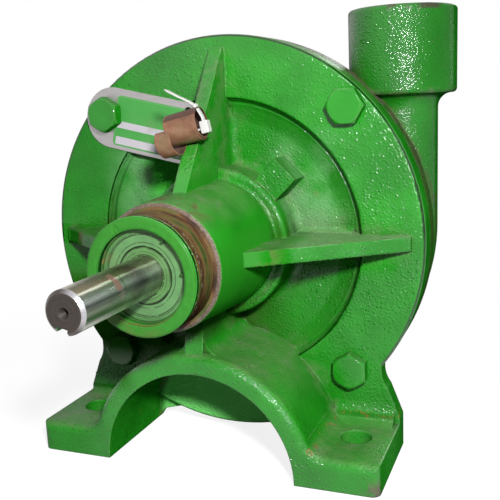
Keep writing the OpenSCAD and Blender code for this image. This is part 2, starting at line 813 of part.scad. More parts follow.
module impeller() color("peru") difference() {
    union() {
        turned() back_shroud_profile();
        turned() front_shroud_profile();
        vanes();
    }
    turned() band(0, hub_d / 2, impeller_y - cut, hub_end + cut);
    impeller_keyway(0, hub_d / 2 + 1.8);
    // balance holes through the back shroud
    for (a = [0:120:240]) translate([0, flange_y + impeller_y, shaft_h]) rotate([0, a + 30, 0])
        translate([hub_r + 4.5, 0, 0]) rotate([-90, 0, 0]) cylinder(d = 4, h = 16);
}

module impeller_washer() color("silver") turned()
    band(stud_d / 2, stud_d / 2 + 6, hub_end, hub_end + 2);

module impeller_nut() color("silver") difference() {
    translate([0, flange_y + hub_end + 2, shaft_h]) rotate([-90, 0, 0])
        cylinder(d = 18 / cos(30), h = 9, $fn = 6);
    turned() band(0, stud_d / 2, hub_end, hub_end + 20);
}

// Plate, strip and tie

// Places a drawing whose x axis runs along the plate from the upper left bolt
module on_plate() {
    translate([-bolt_r * cos(45), flange_y, shaft_h + bolt_r * sin(45)])
        rotate([0, -plate_tilt, 0]) children();
}

module name_plate() color("lightgray") difference() {
    on_plate() rotate([90, 0, 0]) linear_extrude(plate_t) difference() {
        union() {
            translate([4, plate_drop]) circle(d = plate_w);
            translate([4, plate_drop - plate_w / 2]) square([plate_l, plate_w]);
        }
        circle(d = bolt_d + 1);
        translate([plate_l - 3, plate_w / 2 - 6]) circle(d = 4.5);
    }
    translate([-rib_t / 2 - 0.5, 0, shaft_h]) cube([40, 2 * flange_y, flange_r]);
}

// The strip lies against the sloping edge of the top gusset
curl_r = curl_d / 2;
curl_tilt = -12;
curl_contact = 62.6;
curl_x = -1.5;
curl_off = curl_r - 1.1;
rib_angle = atan(1 / rib_slope);

module on_curl() {
    translate([curl_x, flange_y - 3 - (rib_top - curl_contact) / rib_slope
        - curl_off * cos(rib_angle), shaft_h + curl_contact + curl_off * sin(rib_angle)])
            rotate([0, curl_tilt, 0]) children();
}

// Rolled sheet, drawn as a spiral from angle a0 over so many turns
module rolled(r, turns, a0, inward) {
    steps = 40;
    function p(i, inset) = let (a = a0 + 360 * turns * i / steps,
        q = r - inset - inward * i / steps) [q * cos(a), q * sin(a)];
    polygon(concat([for (i = [0:steps]) p(i, 0)], [for (i = [steps:-1:0]) p(i, curl_t)]));
}

module curled_strip() color("sienna") on_curl() rotate([90, 0, 90]) {
    translate([0, 0, -curl_l / 2]) linear_extrude(curl_l) rolled(curl_r, curl_turns, 40, 2.4);
    translate([-2, -2.5, -curl_l / 2 - 9]) linear_extrude(11) rolled(curl_r, 0.55, 150, 1);
}

// Band of even thickness along the points of a path
module strap(path) {
    last = len(path) - 1;
    function side(i, s) = let (d = path[min(i + 1, last)] - path[max(i - 1, 0)])
        path[i] + s * tie_t / 2 * [-d[1], d[0]] / norm(d);
    translate([0, tie_w / 2, 0]) rotate([90, 0, 0]) linear_extrude(tie_w)
        polygon(concat([for (i = [0:last]) side(i, 1)], [for (i = [last:-1:0]) side(i, -1)]));
}

module cable_tie() color("white") on_curl() {
    low = -curl_r + 2.65;
    out = curl_l / 2 + 3.5;
    translate([out - 2.5, -2.9, low - tie_t / 2 - 0.2]) cube([5, 5.8, 8]);
    strap([[-6, low], [out, low]]);
    strap([[out, low + 4], [out - 0.8, low + 11], [12.3, 9.9], [10.9, 12.9], [7.5, 15.2],
        [1, 19], [-6.2, 24]]);
}

bearing_frame();
volute_casing();
casing_gasket();
casing_bolts();
pump_shaft();
retaining_ring();
front_outer_race();
front_inner_race();
front_cage();
front_balls();
front_shields();
rear_outer_race();
rear_inner_race();
rear_cage();
rear_balls();
rear_shields();
shaft_circlip();
slinger();
seat_cup();
seal_seat();
seal_face();
seal_bellows();
seal_spring();
impeller();
impeller_key();
impeller_washer();
impeller_nut();
drain_plug();
name_plate();
curled_strip();
cable_tie();
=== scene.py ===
"""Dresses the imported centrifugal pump: camera, light, finishes and the small soft trim."""
import math

import bmesh
import bpy
import numpy as np
from mathutils import Matrix, Vector


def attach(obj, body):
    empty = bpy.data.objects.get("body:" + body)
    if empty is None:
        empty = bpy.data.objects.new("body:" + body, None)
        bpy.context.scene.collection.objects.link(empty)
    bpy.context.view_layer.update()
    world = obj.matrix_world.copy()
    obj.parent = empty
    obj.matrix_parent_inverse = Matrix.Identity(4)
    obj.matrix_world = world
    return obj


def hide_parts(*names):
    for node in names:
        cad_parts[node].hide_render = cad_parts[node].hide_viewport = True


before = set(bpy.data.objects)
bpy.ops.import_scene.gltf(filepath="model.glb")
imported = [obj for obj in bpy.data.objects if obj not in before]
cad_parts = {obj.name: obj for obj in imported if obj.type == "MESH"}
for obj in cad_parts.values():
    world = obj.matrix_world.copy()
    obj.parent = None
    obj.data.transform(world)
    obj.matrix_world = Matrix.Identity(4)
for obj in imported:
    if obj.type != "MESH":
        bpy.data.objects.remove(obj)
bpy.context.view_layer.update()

MM = 0.001
FLANGE_Y = 24           # front face of the flange, mm
SHAFT_Z = 124           # shaft axis above the floor, mm

# Camera as fitted to the photograph: pixels, sensor millimetres, degrees and metres
PHOTO_SIDE, FOCAL_LENGTH, SENSOR = 500, 768.712, 36
AZIMUTH, ELEVATION, ROLL = 21.944, 10.980, -2.479
CAMERA_AT = (0.18341, -0.39437, 0.20698)
CAMERA_SHIFT = (0.00073, -0.00812)
CAMERA_CLIP = (0.02, 20)

# Lamps: name, place, target, side in metres, and watts
LAMPS = [
    ("key lamp", (0.262, -0.410, 0.336), (0, 0, 0.12), 0.045, 3.6),
    ("top lamp", (-0.15, -0.15, 1.35), (0, 0, 0.1), 0.9, 1.0),
    ("left lamp", (-1.1, -0.7, 0.5), (0, 0, 0.12), 0.8, 0.15),
    ("back lamp", (0.25, 1.45, 0.40), (0, 0, 0.12), 0.8, 13.0),
]
WORLD_TINT, WORLD_STRENGTH = (0.95, 0.97, 1), 0.025
WHITE = (1, 1, 1)

# Floor, in metres: half its side, and the distances between which its shadow fades out
FLOOR_REACH = 4.0
FLOOR_DROP = 0.1 * MM
SHADOW_FADE = (0.18, 0.42)
FLOOR_GREY, FLOOR_BOUNCE, FLOOR_GLOW = (0.30, 0.30, 0.30), (0.22, 0.22, 0.22), 0.84


# Camera and light

def turned_axes(azimuth, elevation, roll):
    """Right, up and forward of a view that looks along +Y at azimuth 0, then rolled."""
    az, el, ro = (math.radians(a) for a in (azimuth, elevation, roll))
    ahead = Vector((-math.sin(az) * math.cos(el), math.cos(az) * math.cos(el), -math.sin(el)))
    level = Vector((math.cos(az), math.sin(az), 0))
    over = level.cross(ahead)
    return (math.cos(ro) * level + math.sin(ro) * over,
            math.cos(ro) * over - math.sin(ro) * level, ahead)


def place_camera():
    """Stands where the photograph was taken from."""
    camera = bpy.data.objects.new("camera", bpy.data.cameras.new("camera"))
    bpy.context.scene.collection.objects.link(camera)
    bpy.context.scene.camera = camera
    camera.data.sensor_width = SENSOR
    camera.data.lens = FOCAL_LENGTH * SENSOR / PHOTO_SIDE
    camera.data.shift_x, camera.data.shift_y = CAMERA_SHIFT
    camera.data.clip_start, camera.data.clip_end = CAMERA_CLIP
    right, up, ahead = turned_axes(AZIMUTH, ELEVATION, ROLL)
    turn = np.eye(4)
    turn[:3, 0], turn[:3, 1], turn[:3, 2] = right, up, -ahead
    turn[:3, 3] = CAMERA_AT
    camera.matrix_world = Matrix(turn.tolist())


def soft_box(name, place, target, size, watts):
    """A white square area lamp at place, turned to target."""
    lamp = bpy.data.lights.new(name, "AREA")
    lamp.shape, lamp.size, lamp.energy = "SQUARE", size, watts
    obj = bpy.data.objects.new(name, lamp)
    bpy.context.scene.collection.objects.link(obj)
    obj.location = place
    obj.rotation_euler = (Vector(target) - Vector(place)).to_track_quat("-Z", "Y").to_euler()


# Shader writing

class Val:
    """A socket on which Python arithmetic adds Math nodes."""

    def __init__(self, owner, socket):
        self.owner, self.socket = owner, socket

    def math(self, operation, *others):
        """One Math node on this socket and the others."""
        return self.owner.add("ShaderNodeMath", [self, *others], operation=operation)

    def __add__(self, other):
        return self.math("ADD", other)

    def __sub__(self, other):
        return self.math("SUBTRACT", other)

    def __rsub__(self, other):
        return (self * -1) + other

    def __mul__(self, other):
        return self.math("MULTIPLY", other)

    def __truediv__(self, other):
        return self.math("DIVIDE", other)

    def __abs__(self):
        return self.math("ABSOLUTE")

    __radd__ = __add__
    __rmul__ = __mul__

    def sqrt(self):
        return self.math("SQRT")

    def least(self, other):
        return self.math("MINIMUM", other)

    def most(self, other):
        return self.math("MAXIMUM", other)

    def wave(self):
        return self.math("SINE")

    def step(self, low, high, to_low=0.0, to_high=1.0):
        """Smooth step from to_low at low to to_high at high, held outside."""
        return self.owner.add("ShaderNodeMapRange", [self, low, high, to_low, to_high],
                              interpolation_type="SMOOTHSTEP")

    def within(self, low, high, soft):
        """1 between low and high, 0 outside, with soft edges."""
        return self.step(low - soft, low + soft) * self.step(high + soft, high - soft)

    def fade(self, place):
        """Smooth step from 0 to 1 between the two millimetres of place."""
        return self.step(place[0] * MM, place[1] * MM)

    def band(self, place):
        """1 within the low and high millimetre of place, whose third number is the softness."""
        low, high, soft = place
        return self.within(low * MM, high * MM, soft * MM)


class Nodes:
    """A node tree in which one method makes every node."""

    def __init__(self, tree):
        self.tree = tree
        tree.nodes.clear()

    def add(self, kind, inputs=(), out=0, every=False, **settings):
        """Makes a node, sets its settings, then its inputs in order or by name."""
        node = self.tree.nodes.new(kind)
        for key, value in settings.items():
            if key == "stops":
                self.set_stops(node.color_ramp, value)
            else:
                setattr(node, key, value)
        pairs = inputs.items() if isinstance(inputs, dict) else enumerate(inputs)
        for key, value in pairs:
            self.plug(node.inputs[key], value)
        if every:
            return [Val(self, socket) for socket in node.outputs]
        return Val(self, node.outputs[out])

    def set_stops(self, ramp, stops):
        """Gives a colour ramp its (place, colour) stops."""
        while len(ramp.elements) < len(stops):
            ramp.elements.new(0.5)
        for element, (place, colour) in zip(ramp.elements, stops):
            element.position, element.color = place, (*colour, 1)

    def plug(self, socket, value):
        """Links a Val to a socket, or sets its plain value or colour."""
        if isinstance(value, Val):
            self.tree.links.new(value.socket, socket)
        elif isinstance(value, tuple) and len(value) == 3 and socket.type == "RGBA":
            socket.default_value = (*value, 1)
        else:
            socket.default_value = value

    def seen_rays(self):
        """1 for rays that show the background: from the camera, a mirror or a clear piece."""
        camera, glossy, clear = (self.add("ShaderNodeLightPath", out=name) for name in
                                 ("Is Camera Ray", "Is Glossy Ray", "Is Transmission Ray"))
        either = self.add("ShaderNodeMath", [camera, glossy], operation="ADD", use_clamp=True)
        return self.add("ShaderNodeMath", [either, clear], operation="ADD", use_clamp=True)


class Paint(Nodes):
    """One material. Layers go over the colour so far; dull keeps the matte places."""

    def __init__(self, name):
        self.material = bpy.data.materials.new(name)
        self.material.use_nodes = True
        super().__init__(self.material.node_tree)
        self.colour, self.dull = None, None
        self.at = self.add("ShaderNodeTexCoord", out="Object")
        self.x, self.y, self.z = self.add("ShaderNodeSeparateXYZ", [self.at], every=True)
        normal = self.add("ShaderNodeTexCoord", out="Normal")
        self.facing = self.add("ShaderNodeSeparateXYZ", [normal], every=True)
        above = self.z - SHAFT_Z * MM
        self.from_axis = abs(above)
        self.r = (self.x * self.x + above * above).sqrt()

    def noise(self, scale, detail=3, rough=0.5, stretch=(1, 1, 1), seed=0.0):
        """Fractal noise, 0 to 1, of features about 1 / scale metres across."""
        place = self.add("ShaderNodeMapping", {"Vector": self.at, "Scale": stretch,
                                               "Location": (seed, seed * 0.7, -seed)})
        return self.add("ShaderNodeTexNoise", {"Vector": place, "Scale": scale,
                                               "Detail": detail, "Roughness": rough})

    def cells(self, scale, seed=0.0):
        """Distance to the nearest of scattered points, and a random value of that point."""
        place = self.add("ShaderNodeMapping", {"Vector": self.at, "Location": (seed, 0, seed)})
        near = self.add("ShaderNodeTexVoronoi", {"Vector": place, "Scale": scale}, every=True)
        return near[0], self.add("ShaderNodeSeparateColor", [near[1]])

    def specks(self, scale, size, share, seed=0.0):
        """1 inside scattered spots: size as a share of their spacing, share of them shown."""
        distance, pick = self.cells(scale, seed)
        return distance.step(size, size * 0.6) * pick.step(1 - share, 1 - share + 0.02)

    def mix(self, factor, first, second):
        """Colour first where factor is 0, second where it is 1."""
        return self.add("ShaderNodeMix", {0: factor, 6: first, 7: second}, out=2,
                        data_type="RGBA")

    def lay(self, factor, colour):
        """Lays a colour over the colour so far."""
        self.colour = self.mix(factor, self.colour, colour)

    def matte(self, factor):
        """Adds a place to the matte ones."""
        self.dull = self.dull.most(factor)

    def tint(self, value, *stops):
        """Colour that follows a value through (place, colour) stops."""
        return self.add("ShaderNodeValToRGB", [value], stops=stops)

    def bent_normal(self, height, depth, edge):
        """Normal with corners rounded by edge and height raised by depth, or None."""
        normal = self.rounded(edge * MM) if edge else None
        if height is None:
            return normal
        ports = {"Height": height, "Distance": depth * MM, "Strength": 1.0}
        if normal is not None:
            ports["Normal"] = normal
        return self.add("ShaderNodeBump", ports)

    def finish(self, rough, metal=0.0, height=None, depth=0.2, edge=0.0):
        """Wires the surface. height in 0..1 is raised by depth mm; edge mm rounds corners;
        where dull is set, a second, matte layer of the same colour is blended in."""
        normal = self.bent_normal(height, depth, edge)
        bend = {} if normal is None else {"Normal": normal}
        surface = self.add("ShaderNodeBsdfPrincipled", {
            "Base Color": self.colour, "Roughness": rough, "Metallic": metal, **bend})
        if self.dull is not None:
            matte = self.add("ShaderNodeBsdfPrincipled", {
                "Base Color": self.colour, "Roughness": 0.9, "Specular IOR Level": 0.0, **bend})
            surface = self.add("ShaderNodeMixShader", [self.dull, surface, matte])
        self.add("ShaderNodeOutputMaterial", [surface], every=True)
        return self.material

    def rounded(self, radius):
        """Normal with the corners rounded."""
        return self.add("ShaderNodeBevel", {"Radius": radius}, samples=6)

    def edges(self, radius):
        """1 along sharp edges, where a rounded normal leaves the true one."""
        true = self.add("ShaderNodeNewGeometry", out=1)
        along = self.add("ShaderNodeVectorMath", [self.rounded(radius), true], out=1,
                         operation="DOT_PRODUCT")
        return along.step(0.985, 0.90)

    def hollows(self, reach, low=0.45, high=0.95):
        """1 deep in corners, 0 on open faces."""
        open_sky = self.add("ShaderNodeAmbientOcclusion", {"Distance": reach}, out=1,
                            samples=6, only_local=True)
        return open_sky.step(high, low)


# Backdrop and floor

def backdrop():
    """World that is white where it is seen and lights the object faintly."""
    world = bpy.data.worlds.new("studio")
    bpy.context.scene.world = world
    world.use_nodes = True
    nodes = Nodes(world.node_tree)
    lit = nodes.add("ShaderNodeBackground", [WORLD_TINT, WORLD_STRENGTH])
    seen = nodes.add("ShaderNodeBackground", [WHITE, 1.0])
    blend = nodes.add("ShaderNodeMixShader", [nodes.seen_rays(), lit, seen])
    nodes.add("ShaderNodeOutputWorld", [blend], every=True)


def floor_shade():
    """White with a soft shadow near the pump where it is seen, grey for all other rays."""
    material = bpy.data.materials.new("studio floor")
    material.use_nodes = True
    nodes = Nodes(material.node_tree)
    matte = nodes.add("ShaderNodeBsdfDiffuse", [FLOOR_GREY])
    glow = nodes.add("ShaderNodeEmission", [WHITE, FLOOR_GLOW])
    shadowed = nodes.add("ShaderNodeAddShader", [matte, glow])
    place = nodes.add("ShaderNodeTexCoord", out="Object")
    far = nodes.add("ShaderNodeVectorMath", [place], out="Value", operation="LENGTH")
    fade = nodes.add("ShaderNodeMapRange", [far, *SHADOW_FADE])
    white = nodes.add("ShaderNodeEmission", [WHITE, 1.0])
    near = nodes.add("ShaderNodeMixShader", [fade, shadowed, white])
    bounce = nodes.add("ShaderNodeBsdfDiffuse", [FLOOR_BOUNCE])
    shade = nodes.add("ShaderNodeMixShader", [nodes.seen_rays(), bounce, near])
    nodes.add("ShaderNodeOutputMaterial", [shade], every=True)
    return material


def floor():
    """Pale floor just below the feet."""
    reach = FLOOR_REACH
    grid = np.array([[[-reach, -reach, 0], [-reach, reach, 0]],
                     [[reach, -reach, 0], [reach, reach, 0]]]) - np.array([0, 0, FLOOR_DROP])
    obj = surface("floor", grid)
    obj.data.materials.append(floor_shade())


# Enamel

GREEN = (0.022, 0.33, 0.016)
DEEP_GREEN = (0.012, 0.22, 0.009)
PALE_GREEN = (0.085, 0.41, 0.075)
DUST = (0.21, 0.27, 0.14)
PINK_DUST = (0.30, 0.25, 0.22)
RUST = (0.17, 0.085, 0.04)
DARK_RUST = (0.07, 0.042, 0.03)
PURPLE_RUST = (0.15, 0.105, 0.09)
ORANGE_RUST = (0.36, 0.15, 0.05)
# Lighter green of rubbed edges, also a painted highlight along them
RUBBED_HIGHLIT_GREEN = (0.20, 0.42, 0.15)

# Places of marks in millimetres: two numbers are a fade from 0 to 1, three are the low and
# high end of a band and its softness
CAVE_Z = (57, 155, 9)
# Place left of the web where shade is painted
WEB_X, WEB_Z = (-34, -46), (46, 100, 8)
RUBBED_HIGHLIT_WIDTH = 1.1       # width of the rubbed edges, which also carry a painted highlight


class Enamel(Paint):
    """Thick green enamel over a sand casting, with its dust, wear and chips, painted shade in
    corners and hollows, and painted highlights along edges.
    """

    def __init__(self, name, dust_share, chip_share, rub_and_highlight=0.55):
        super().__init__(name)
        self.up = self.facing[2]
        self.cloud = self.noise(28, 4, 0.55, seed=1.3)
        self.lay_coat()
        self.lay_dust(dust_share)
        self.lay_painted_shade()
        self.find_dull()
        self.rub_and_highlight_edges(rub_and_highlight)
        self.chip(chip_share)
        self.raise_sand()

    def lay_coat(self):
        """Cloudy green with paler blotches."""
        blotch = self.noise(9, 3, 0.5, seed=4.1)
        self.colour = self.mix(self.cloud.step(0.3, 0.75), DEEP_GREEN, GREEN)
        self.lay(blotch.step(0.5, 0.75) * 0.35, PALE_GREEN)

    def lay_dust(self, share):
        """Dust that lies on upward faces and in open corners."""
        grit = self.noise(80, 5, 0.65, seed=2.2)
        lying = self.up.step(0.45, 0.98) * grit.step(0.30, 0.74, 0.16, 0.56)
        corner = self.hollows(0.016) * grit.step(0.40, 0.66) * self.up.step(-0.4, 0.3)
        self.dust = (lying.most(corner * 0.75) * share).least(0.8)
        self.lay(self.dust, self.mix(grit.step(0.56, 0.78), DUST, PINK_DUST))

    def lay_painted_shade(self):
        """Painted shade: a dark green in the deepest corners, and in the wide hollows at mid
        height.
        """
        deep = self.hollows(0.007, 0.35, 0.75) * self.noise(95, 3, seed=9.4).step(0.35, 0.6)
        self.lay(deep * 0.45, (0.03, 0.06, 0.015))
        cave = self.hollows(0.045, 0.28, 0.62) * self.up.step(0.6, 0.2) * self.z.band(CAVE_Z)
        self.lay(cave * 0.75, (0.028, 0.045, 0.008))

    def find_dull(self):
        """Matte places: sides, corners, dust, undersides and what lies left of the web, where
        shade is also painted.
        """
        side = self.facing[1].step(-0.60, -0.20) * (1 - self.up.step(0.5, 0.9) * 0.45)
        self.dull = side.most(self.hollows(0.03, 0.3, 0.8)).most(self.dust)
        self.matte(self.up.step(-0.3, -0.8) * 0.6)
        # Painted shade on what lies left of the web
        shade_left_of_web = self.x.fade(WEB_X) * self.z.band(WEB_Z)
        self.lay(shade_left_of_web * 0.4, (0.05, 0.05, 0.008))
        self.dull = self.dull.most(shade_left_of_web).least(1)

    def rub_and_highlight_edges(self, share):
        """Lighter edges: rubbed paint, with a painted highlight along them."""
        patches = self.noise(120, 4, 0.6, seed=5.9).step(0.42, 0.62)
        self.rubbed_and_highlit = self.edges(RUBBED_HIGHLIT_WIDTH * MM) * patches
        self.lay(self.rubbed_and_highlit * share, RUBBED_HIGHLIT_GREEN)

    def chip(self, share):
        """Small rusty chips, gathered in a few areas."""
        spot = self.specks(90, 0.24, share, seed=0.6)
        spot = spot * self.noise(11, 2, seed=7.7).step(0.48, 0.62)
        self.chips = spot * self.noise(420, 2).step(0.35, 0.5)
        self.lay(self.chips, self.mix(self.noise(230), RUST, ORANGE_RUST))
        self.rough = (self.dust * 0.35 + 0.09 + self.cloud * 0.06 + self.chips * 0.4
                      + self.rubbed_and_highlit * 0.15).least(0.9)

    def raise_sand(self):
        """Sand grains under the paint, fine peaks with coarser lumps between, and a swell."""
        fine = self.noise(820, 2, 0.5, seed=5.0)
        distance, pick = self.cells(450, seed=0.37)
        grains = distance.step(0.46, 0.04) * pick.step(0.10, 0.80)
        patchy = self.noise(24, 2, 0.5, seed=6.6).step(0.3, 0.62, 0.5, 1.0)
        self.sand = (fine * fine * 0.9 + grains * 0.46) * patchy
        self.swell = (self.noise(34, 2, 0.4, seed=3.0) * 1.6
                      + self.noise(95, 2, 0.5, seed=4.7) * 0.35)


# Bearing frame

BARREL_R, BARREL_Y = (46, 40), (4, -2)
FACE_Y = (-81.2, -81.8)
BORE_R, BORE_Y, BORE_MOUTH_Y = (24.6, 23.9), (-60, -62), (-81.6, -80.6)
BORE_ARC_Y = (-80.9, -79.4, 0.2)
OUTSIDE_BORE_R = (26, 27)
PILOT_R, PILOT_Y = (34.6, 34), (-78.4, -61.2, 0.25)
LINE_R, LINE_Y, FINE_LINE_Y = (33, 32), (-80.4, -78.9, 0.15), (-75.9, -75.2, 0.12)
FLECK_Y = (-79.4, -79.2)
RIM_INNER_R, RIM_OUTER_R, RIM_Y = (31.1, 32.2), (36, 35.5), (-62.2, -60.4, 0.25)
# Place of the painted shadow of the barrel on the web
BARREL_SHADOW_X, BARREL_SHADOW_Y, BARREL_SHADOW_Z = (18, 8), (10, -10), (76, 92, 5)
TOP_RUST_Y, TOP_RUST_END_Y = (-38, -52), (-62, -61)
FOOT_X, FOOT_Y, FOOT_Z = (92, 101), (-24, -31), (12, 3)
TRAIL_X, TRAIL_Z = (66, 104, 3), (21, 22.6, 0.8)
RIB_DUST_X, RIB_DUST_Y, RIB_DUST_Z = (44, 80, 5), (10, 16), (125, 141, 6)
RIB_HALF, RIB_SIDE = (5.2, 3.6), (8, 6)
RIB_FRONT_Y, RIB_REAR_Y, RIB_REAR_X = (-20, -34), (12, 6), (-80, -90)
RIB_ROOT_X, RIB_LEFT_X = (42, 56, 3), (-86, -94)
GUSSET_X, GUSSET_Y, GUSSET_Z = (4.6, 3.8), (24, 20), (160, 175)
# Place of the painted light on the back plate under the arch
ARCH_R, ARCH_Y = (57, 52), (10, 14)
# Places of the pale patch on the right rib, the painted sheen beside the collar and the painted
# light in the lee of the gusset
RIB_TOP_X, RIB_TOP_Z = (46, 60), (118, 134, 2)
BESIDE_X, BESIDE_Y, BESIDE_Z = (32, 74, 13), (14, 18), (130, 180, 14)
LEE_X, LEE_Y, LEE_Z = (-54, -22, 7), (22, 26), (148, 178, 7)
BELOW_RIB_X, BELOW_RIB_Z = (34, 104, 4), (106, 119, 4)
LEFT_X = (-44, -84)
SLOPE_R, SLOPE_Y = (69, 81), (18, 22)


class FrameEnamel(Enamel):
    """Enamel of the bearing frame, with the bare turned nose and its rust."""

    def __init__(self):
        super().__init__("frame enamel", 1.0, 0.07)
        self.ragged = (self.noise(160, 4, 0.7, seed=6.0) - 0.5) * 2.4 * MM
        self.barrel = self.r.fade(BARREL_R) * self.y.fade(BARREL_Y)
        self.lay(self.barrel * self.up.step(0.55, 0.2) * 0.9, (0.022, 0.265, 0.014))

    def nose_face(self):
        """Turned end face of the nose."""
        self.face = self.y.fade(FACE_Y)
        self.tool = self.noise(800, 2, 0.5, stretch=(0.5, 0.1, 0.5), seed=4.4)
        self.lay(self.face, self.mix(self.tool, (0.03, 0.205, 0.018), (0.05, 0.29, 0.035)))
        low = (self.noise(70, 3, 0.6, seed=2.6) + self.z * -10).step(-0.50, -0.35)
        self.lay(self.face * low * 0.35, (0.16, 0.13, 0.05))
        self.matte(self.face * 0.6)

    def nose_bore(self):
        """Painted shade in the bore behind the face, darkest on its downward faces, with an arc
        of rust low in it.
        """
        bore = self.r.fade(BORE_R) * self.y.fade(BORE_Y)
        shaded_wall = self.mix(self.up.step(-0.1, 0.7), (0.008, 0.05, 0.008), (0.03, 0.22, 0.02))
        self.lay(bore * self.y.fade(BORE_MOUTH_Y), shaded_wall)
        waved = self.noise(110, 3, 0.6, seed=7.1) * 3 * MM + self.y
        arc = bore * self.up.step(0.3, 0.8) * waved.band(BORE_ARC_Y)
        self.lay(arc * 0.7, (0.16, 0.10, 0.03))

    def nose_pilot(self):
        """Rusty turned pilot between the painted nose and the shoulder, with painted shade on
        its underside.
        """
        self.pilot = (self.y + self.ragged * 0.4).band(PILOT_Y) * self.r.fade(PILOT_R)
        self.pilot = self.pilot * self.r.fade(OUTSIDE_BORE_R)
        self.lathe = self.noise(420, 3, 0.6, stretch=(0.12, 1, 0.12), seed=2.0)
        streak = self.noise(70, 4, 0.65, stretch=(0.5, 1.6, 0.5), seed=9.0)
        bare = self.tint(streak * 0.6 + self.lathe * 0.4, (0.34, (0.022, 0.014, 0.010)),
                         (0.43, (0.085, 0.04, 0.02)), (0.49, (0.17, 0.10, 0.04)),
                         (0.55, (0.10, 0.11, 0.03)), (0.63, (0.05, 0.05, 0.018)),
                         (0.71, (0.045, 0.19, 0.03)))
        shaded_underside = self.up.step(0.0, -0.75)
        self.lay(self.pilot, self.mix(shaded_underside * 0.75, bare, (0.035, 0.012, 0.008)))

    def nose_lines(self):
        """Dark line with bright flecks behind the nose, and a second, finer one."""
        line = (self.y + self.ragged * 0.2).band(LINE_Y)
        line = line.most(self.y.band(FINE_LINE_Y) * 0.8)
        self.line = line * self.r.fade(LINE_R) * self.r.fade(OUTSIDE_BORE_R)
        fleck = self.noise(520, 2, seed=3.3).step(0.56, 0.62) * self.y.fade(FLECK_Y)
        self.lay(self.line, self.mix(fleck, (0.012, 0.02, 0.010), (0.34, 0.36, 0.33)))

    def shoulder_rim(self):
        """Bare grainy rim of the shoulder behind the pilot."""
        rim = (self.y + self.ragged * 0.4).band(RIM_Y)
        rim = rim * (self.r + self.ragged * 0.3).fade(RIM_INNER_R)
        self.rim = rim * self.r.fade(RIM_OUTER_R)
        grain = self.noise(900, 3, 0.6).step(0.4, 0.6)
        self.lay(self.rim * 0.92, self.mix(grain, (0.11, 0.072, 0.058), (0.22, 0.155, 0.13)))

    def barrel_shadow_and_rust(self):
        """Painted shadow of the barrel on the web below it, and rust where the paint has worn
        through on top.
        """
        barrel_shadow = self.z.band(BARREL_SHADOW_Z) * abs(self.x).fade(BARREL_SHADOW_X) * self.y.fade(BARREL_SHADOW_Y)
        self.lay(barrel_shadow * 0.75, (0.02, 0.05, 0.01))
        self.matte(barrel_shadow)
        top = (self.y + self.ragged * 3).fade(TOP_RUST_Y) * self.up.step(0.62, 0.95)
        top = top * self.barrel * self.y.fade(TOP_RUST_END_Y)
        self.worn = top * self.noise(85, 5, 0.7, seed=3.4).step(0.47, 0.57)
        self.lay(self.worn * 0.9, self.mix(self.noise(300), DARK_RUST, (0.22, 0.12, 0.06)))

    def foot_wear(self):
        """Chips on the front corner of the right foot, and a line of rusty specks behind it."""
        corner = self.x.fade(FOOT_X) * self.y.fade(FOOT_Y) * self.z.fade(FOOT_Z)
        self.corner = corner * self.noise(150, 4, 0.65, seed=6.2).step(0.42, 0.52)
        self.lay(self.corner * 0.85, self.mix(self.noise(420, 2), DARK_RUST, (0.22, 0.17, 0.15)))
        waved = self.z + (self.noise(60, 3, seed=1.9) - 0.5) * 14 * MM
        trail = waved.band(TRAIL_Z) * self.x.band(TRAIL_X)
        trail = trail * self.noise(380, 3, seed=2.2).step(0.5, 0.58)
        self.lay(trail * 0.5, (0.40, 0.13, 0.05))

    def rib_wear(self):
        """Dust above the right rib, and bare places on the front edges of both side ribs."""
        above = self.z.band(RIB_DUST_Z) * self.x.band(RIB_DUST_X) * self.y.fade(RIB_DUST_Y)
        above = above * self.noise(60, 4, 0.6, seed=8.8).step(0.38, 0.62)
        self.lay(above * 0.4, DUST)
        edge = self.y.fade(RIB_FRONT_Y).most(self.y.fade(RIB_REAR_Y) * self.x.fade(RIB_REAR_X))
        places = self.x.band(RIB_ROOT_X).most(self.x.fade(RIB_LEFT_X))
        worn = edge * self.from_axis.fade(RIB_HALF) * places
        worn = worn * self.noise(140, 4, seed=4.6).step(0.42, 0.56)
        self.lay(worn * 0.7, (0.30, 0.18, 0.12))
        self.matte(places * self.from_axis.fade(RIB_SIDE))

    def gusset_dust(self):
        """Dust on the front edge of the upright gusset."""
        edge = abs(self.x).fade(GUSSET_X) * self.z.fade(GUSSET_Z) * self.y.fade(GUSSET_Y)
        self.lay(edge * self.noise(80, 5, 0.65, seed=3.9).step(0.40, 0.60) * 0.3, DUST)

    def painted_light_under_arch(self):
        """Painted light: bright green on the back plate where it is seen through the arch."""
        under_arch = (self.x * self.x + self.z * self.z).sqrt().fade(ARCH_R)
        painted_light_through_arch = under_arch * self.y.fade(ARCH_Y)
        self.lay(painted_light_through_arch, (0.24, 0.95, 0.22))
        self.matte(painted_light_through_arch)

    def pale_patch_and_painted_light(self):
        """Pale green on top of the right rib, a painted sheen beside the collar, and painted
        light in the lee of the gusset.
        """
        rib_top = self.up.step(0.8, 0.95) * self.x.fade(RIB_TOP_X) * self.z.band(RIB_TOP_Z)
        self.lay(rib_top * 0.45, (0.30, 0.50, 0.24))
        painted_sheen_beside_collar = self.z.band(BESIDE_Z) * abs(self.x).band(BESIDE_X) * self.y.fade(BESIDE_Y)
        painted_sheen_beside_collar = painted_sheen_beside_collar * self.noise(45, 4, 0.6, seed=5.5).step(0.30, 0.70)
        self.lay(painted_sheen_beside_collar * 0.5, (0.24, 0.52, 0.24))
        painted_light_in_lee = self.x.band(LEE_X) * self.z.band(LEE_Z) * self.y.fade(LEE_Y)
        self.lay(painted_light_in_lee * 0.8, (0.07, 0.62, 0.055))
        self.matte(painted_light_in_lee)

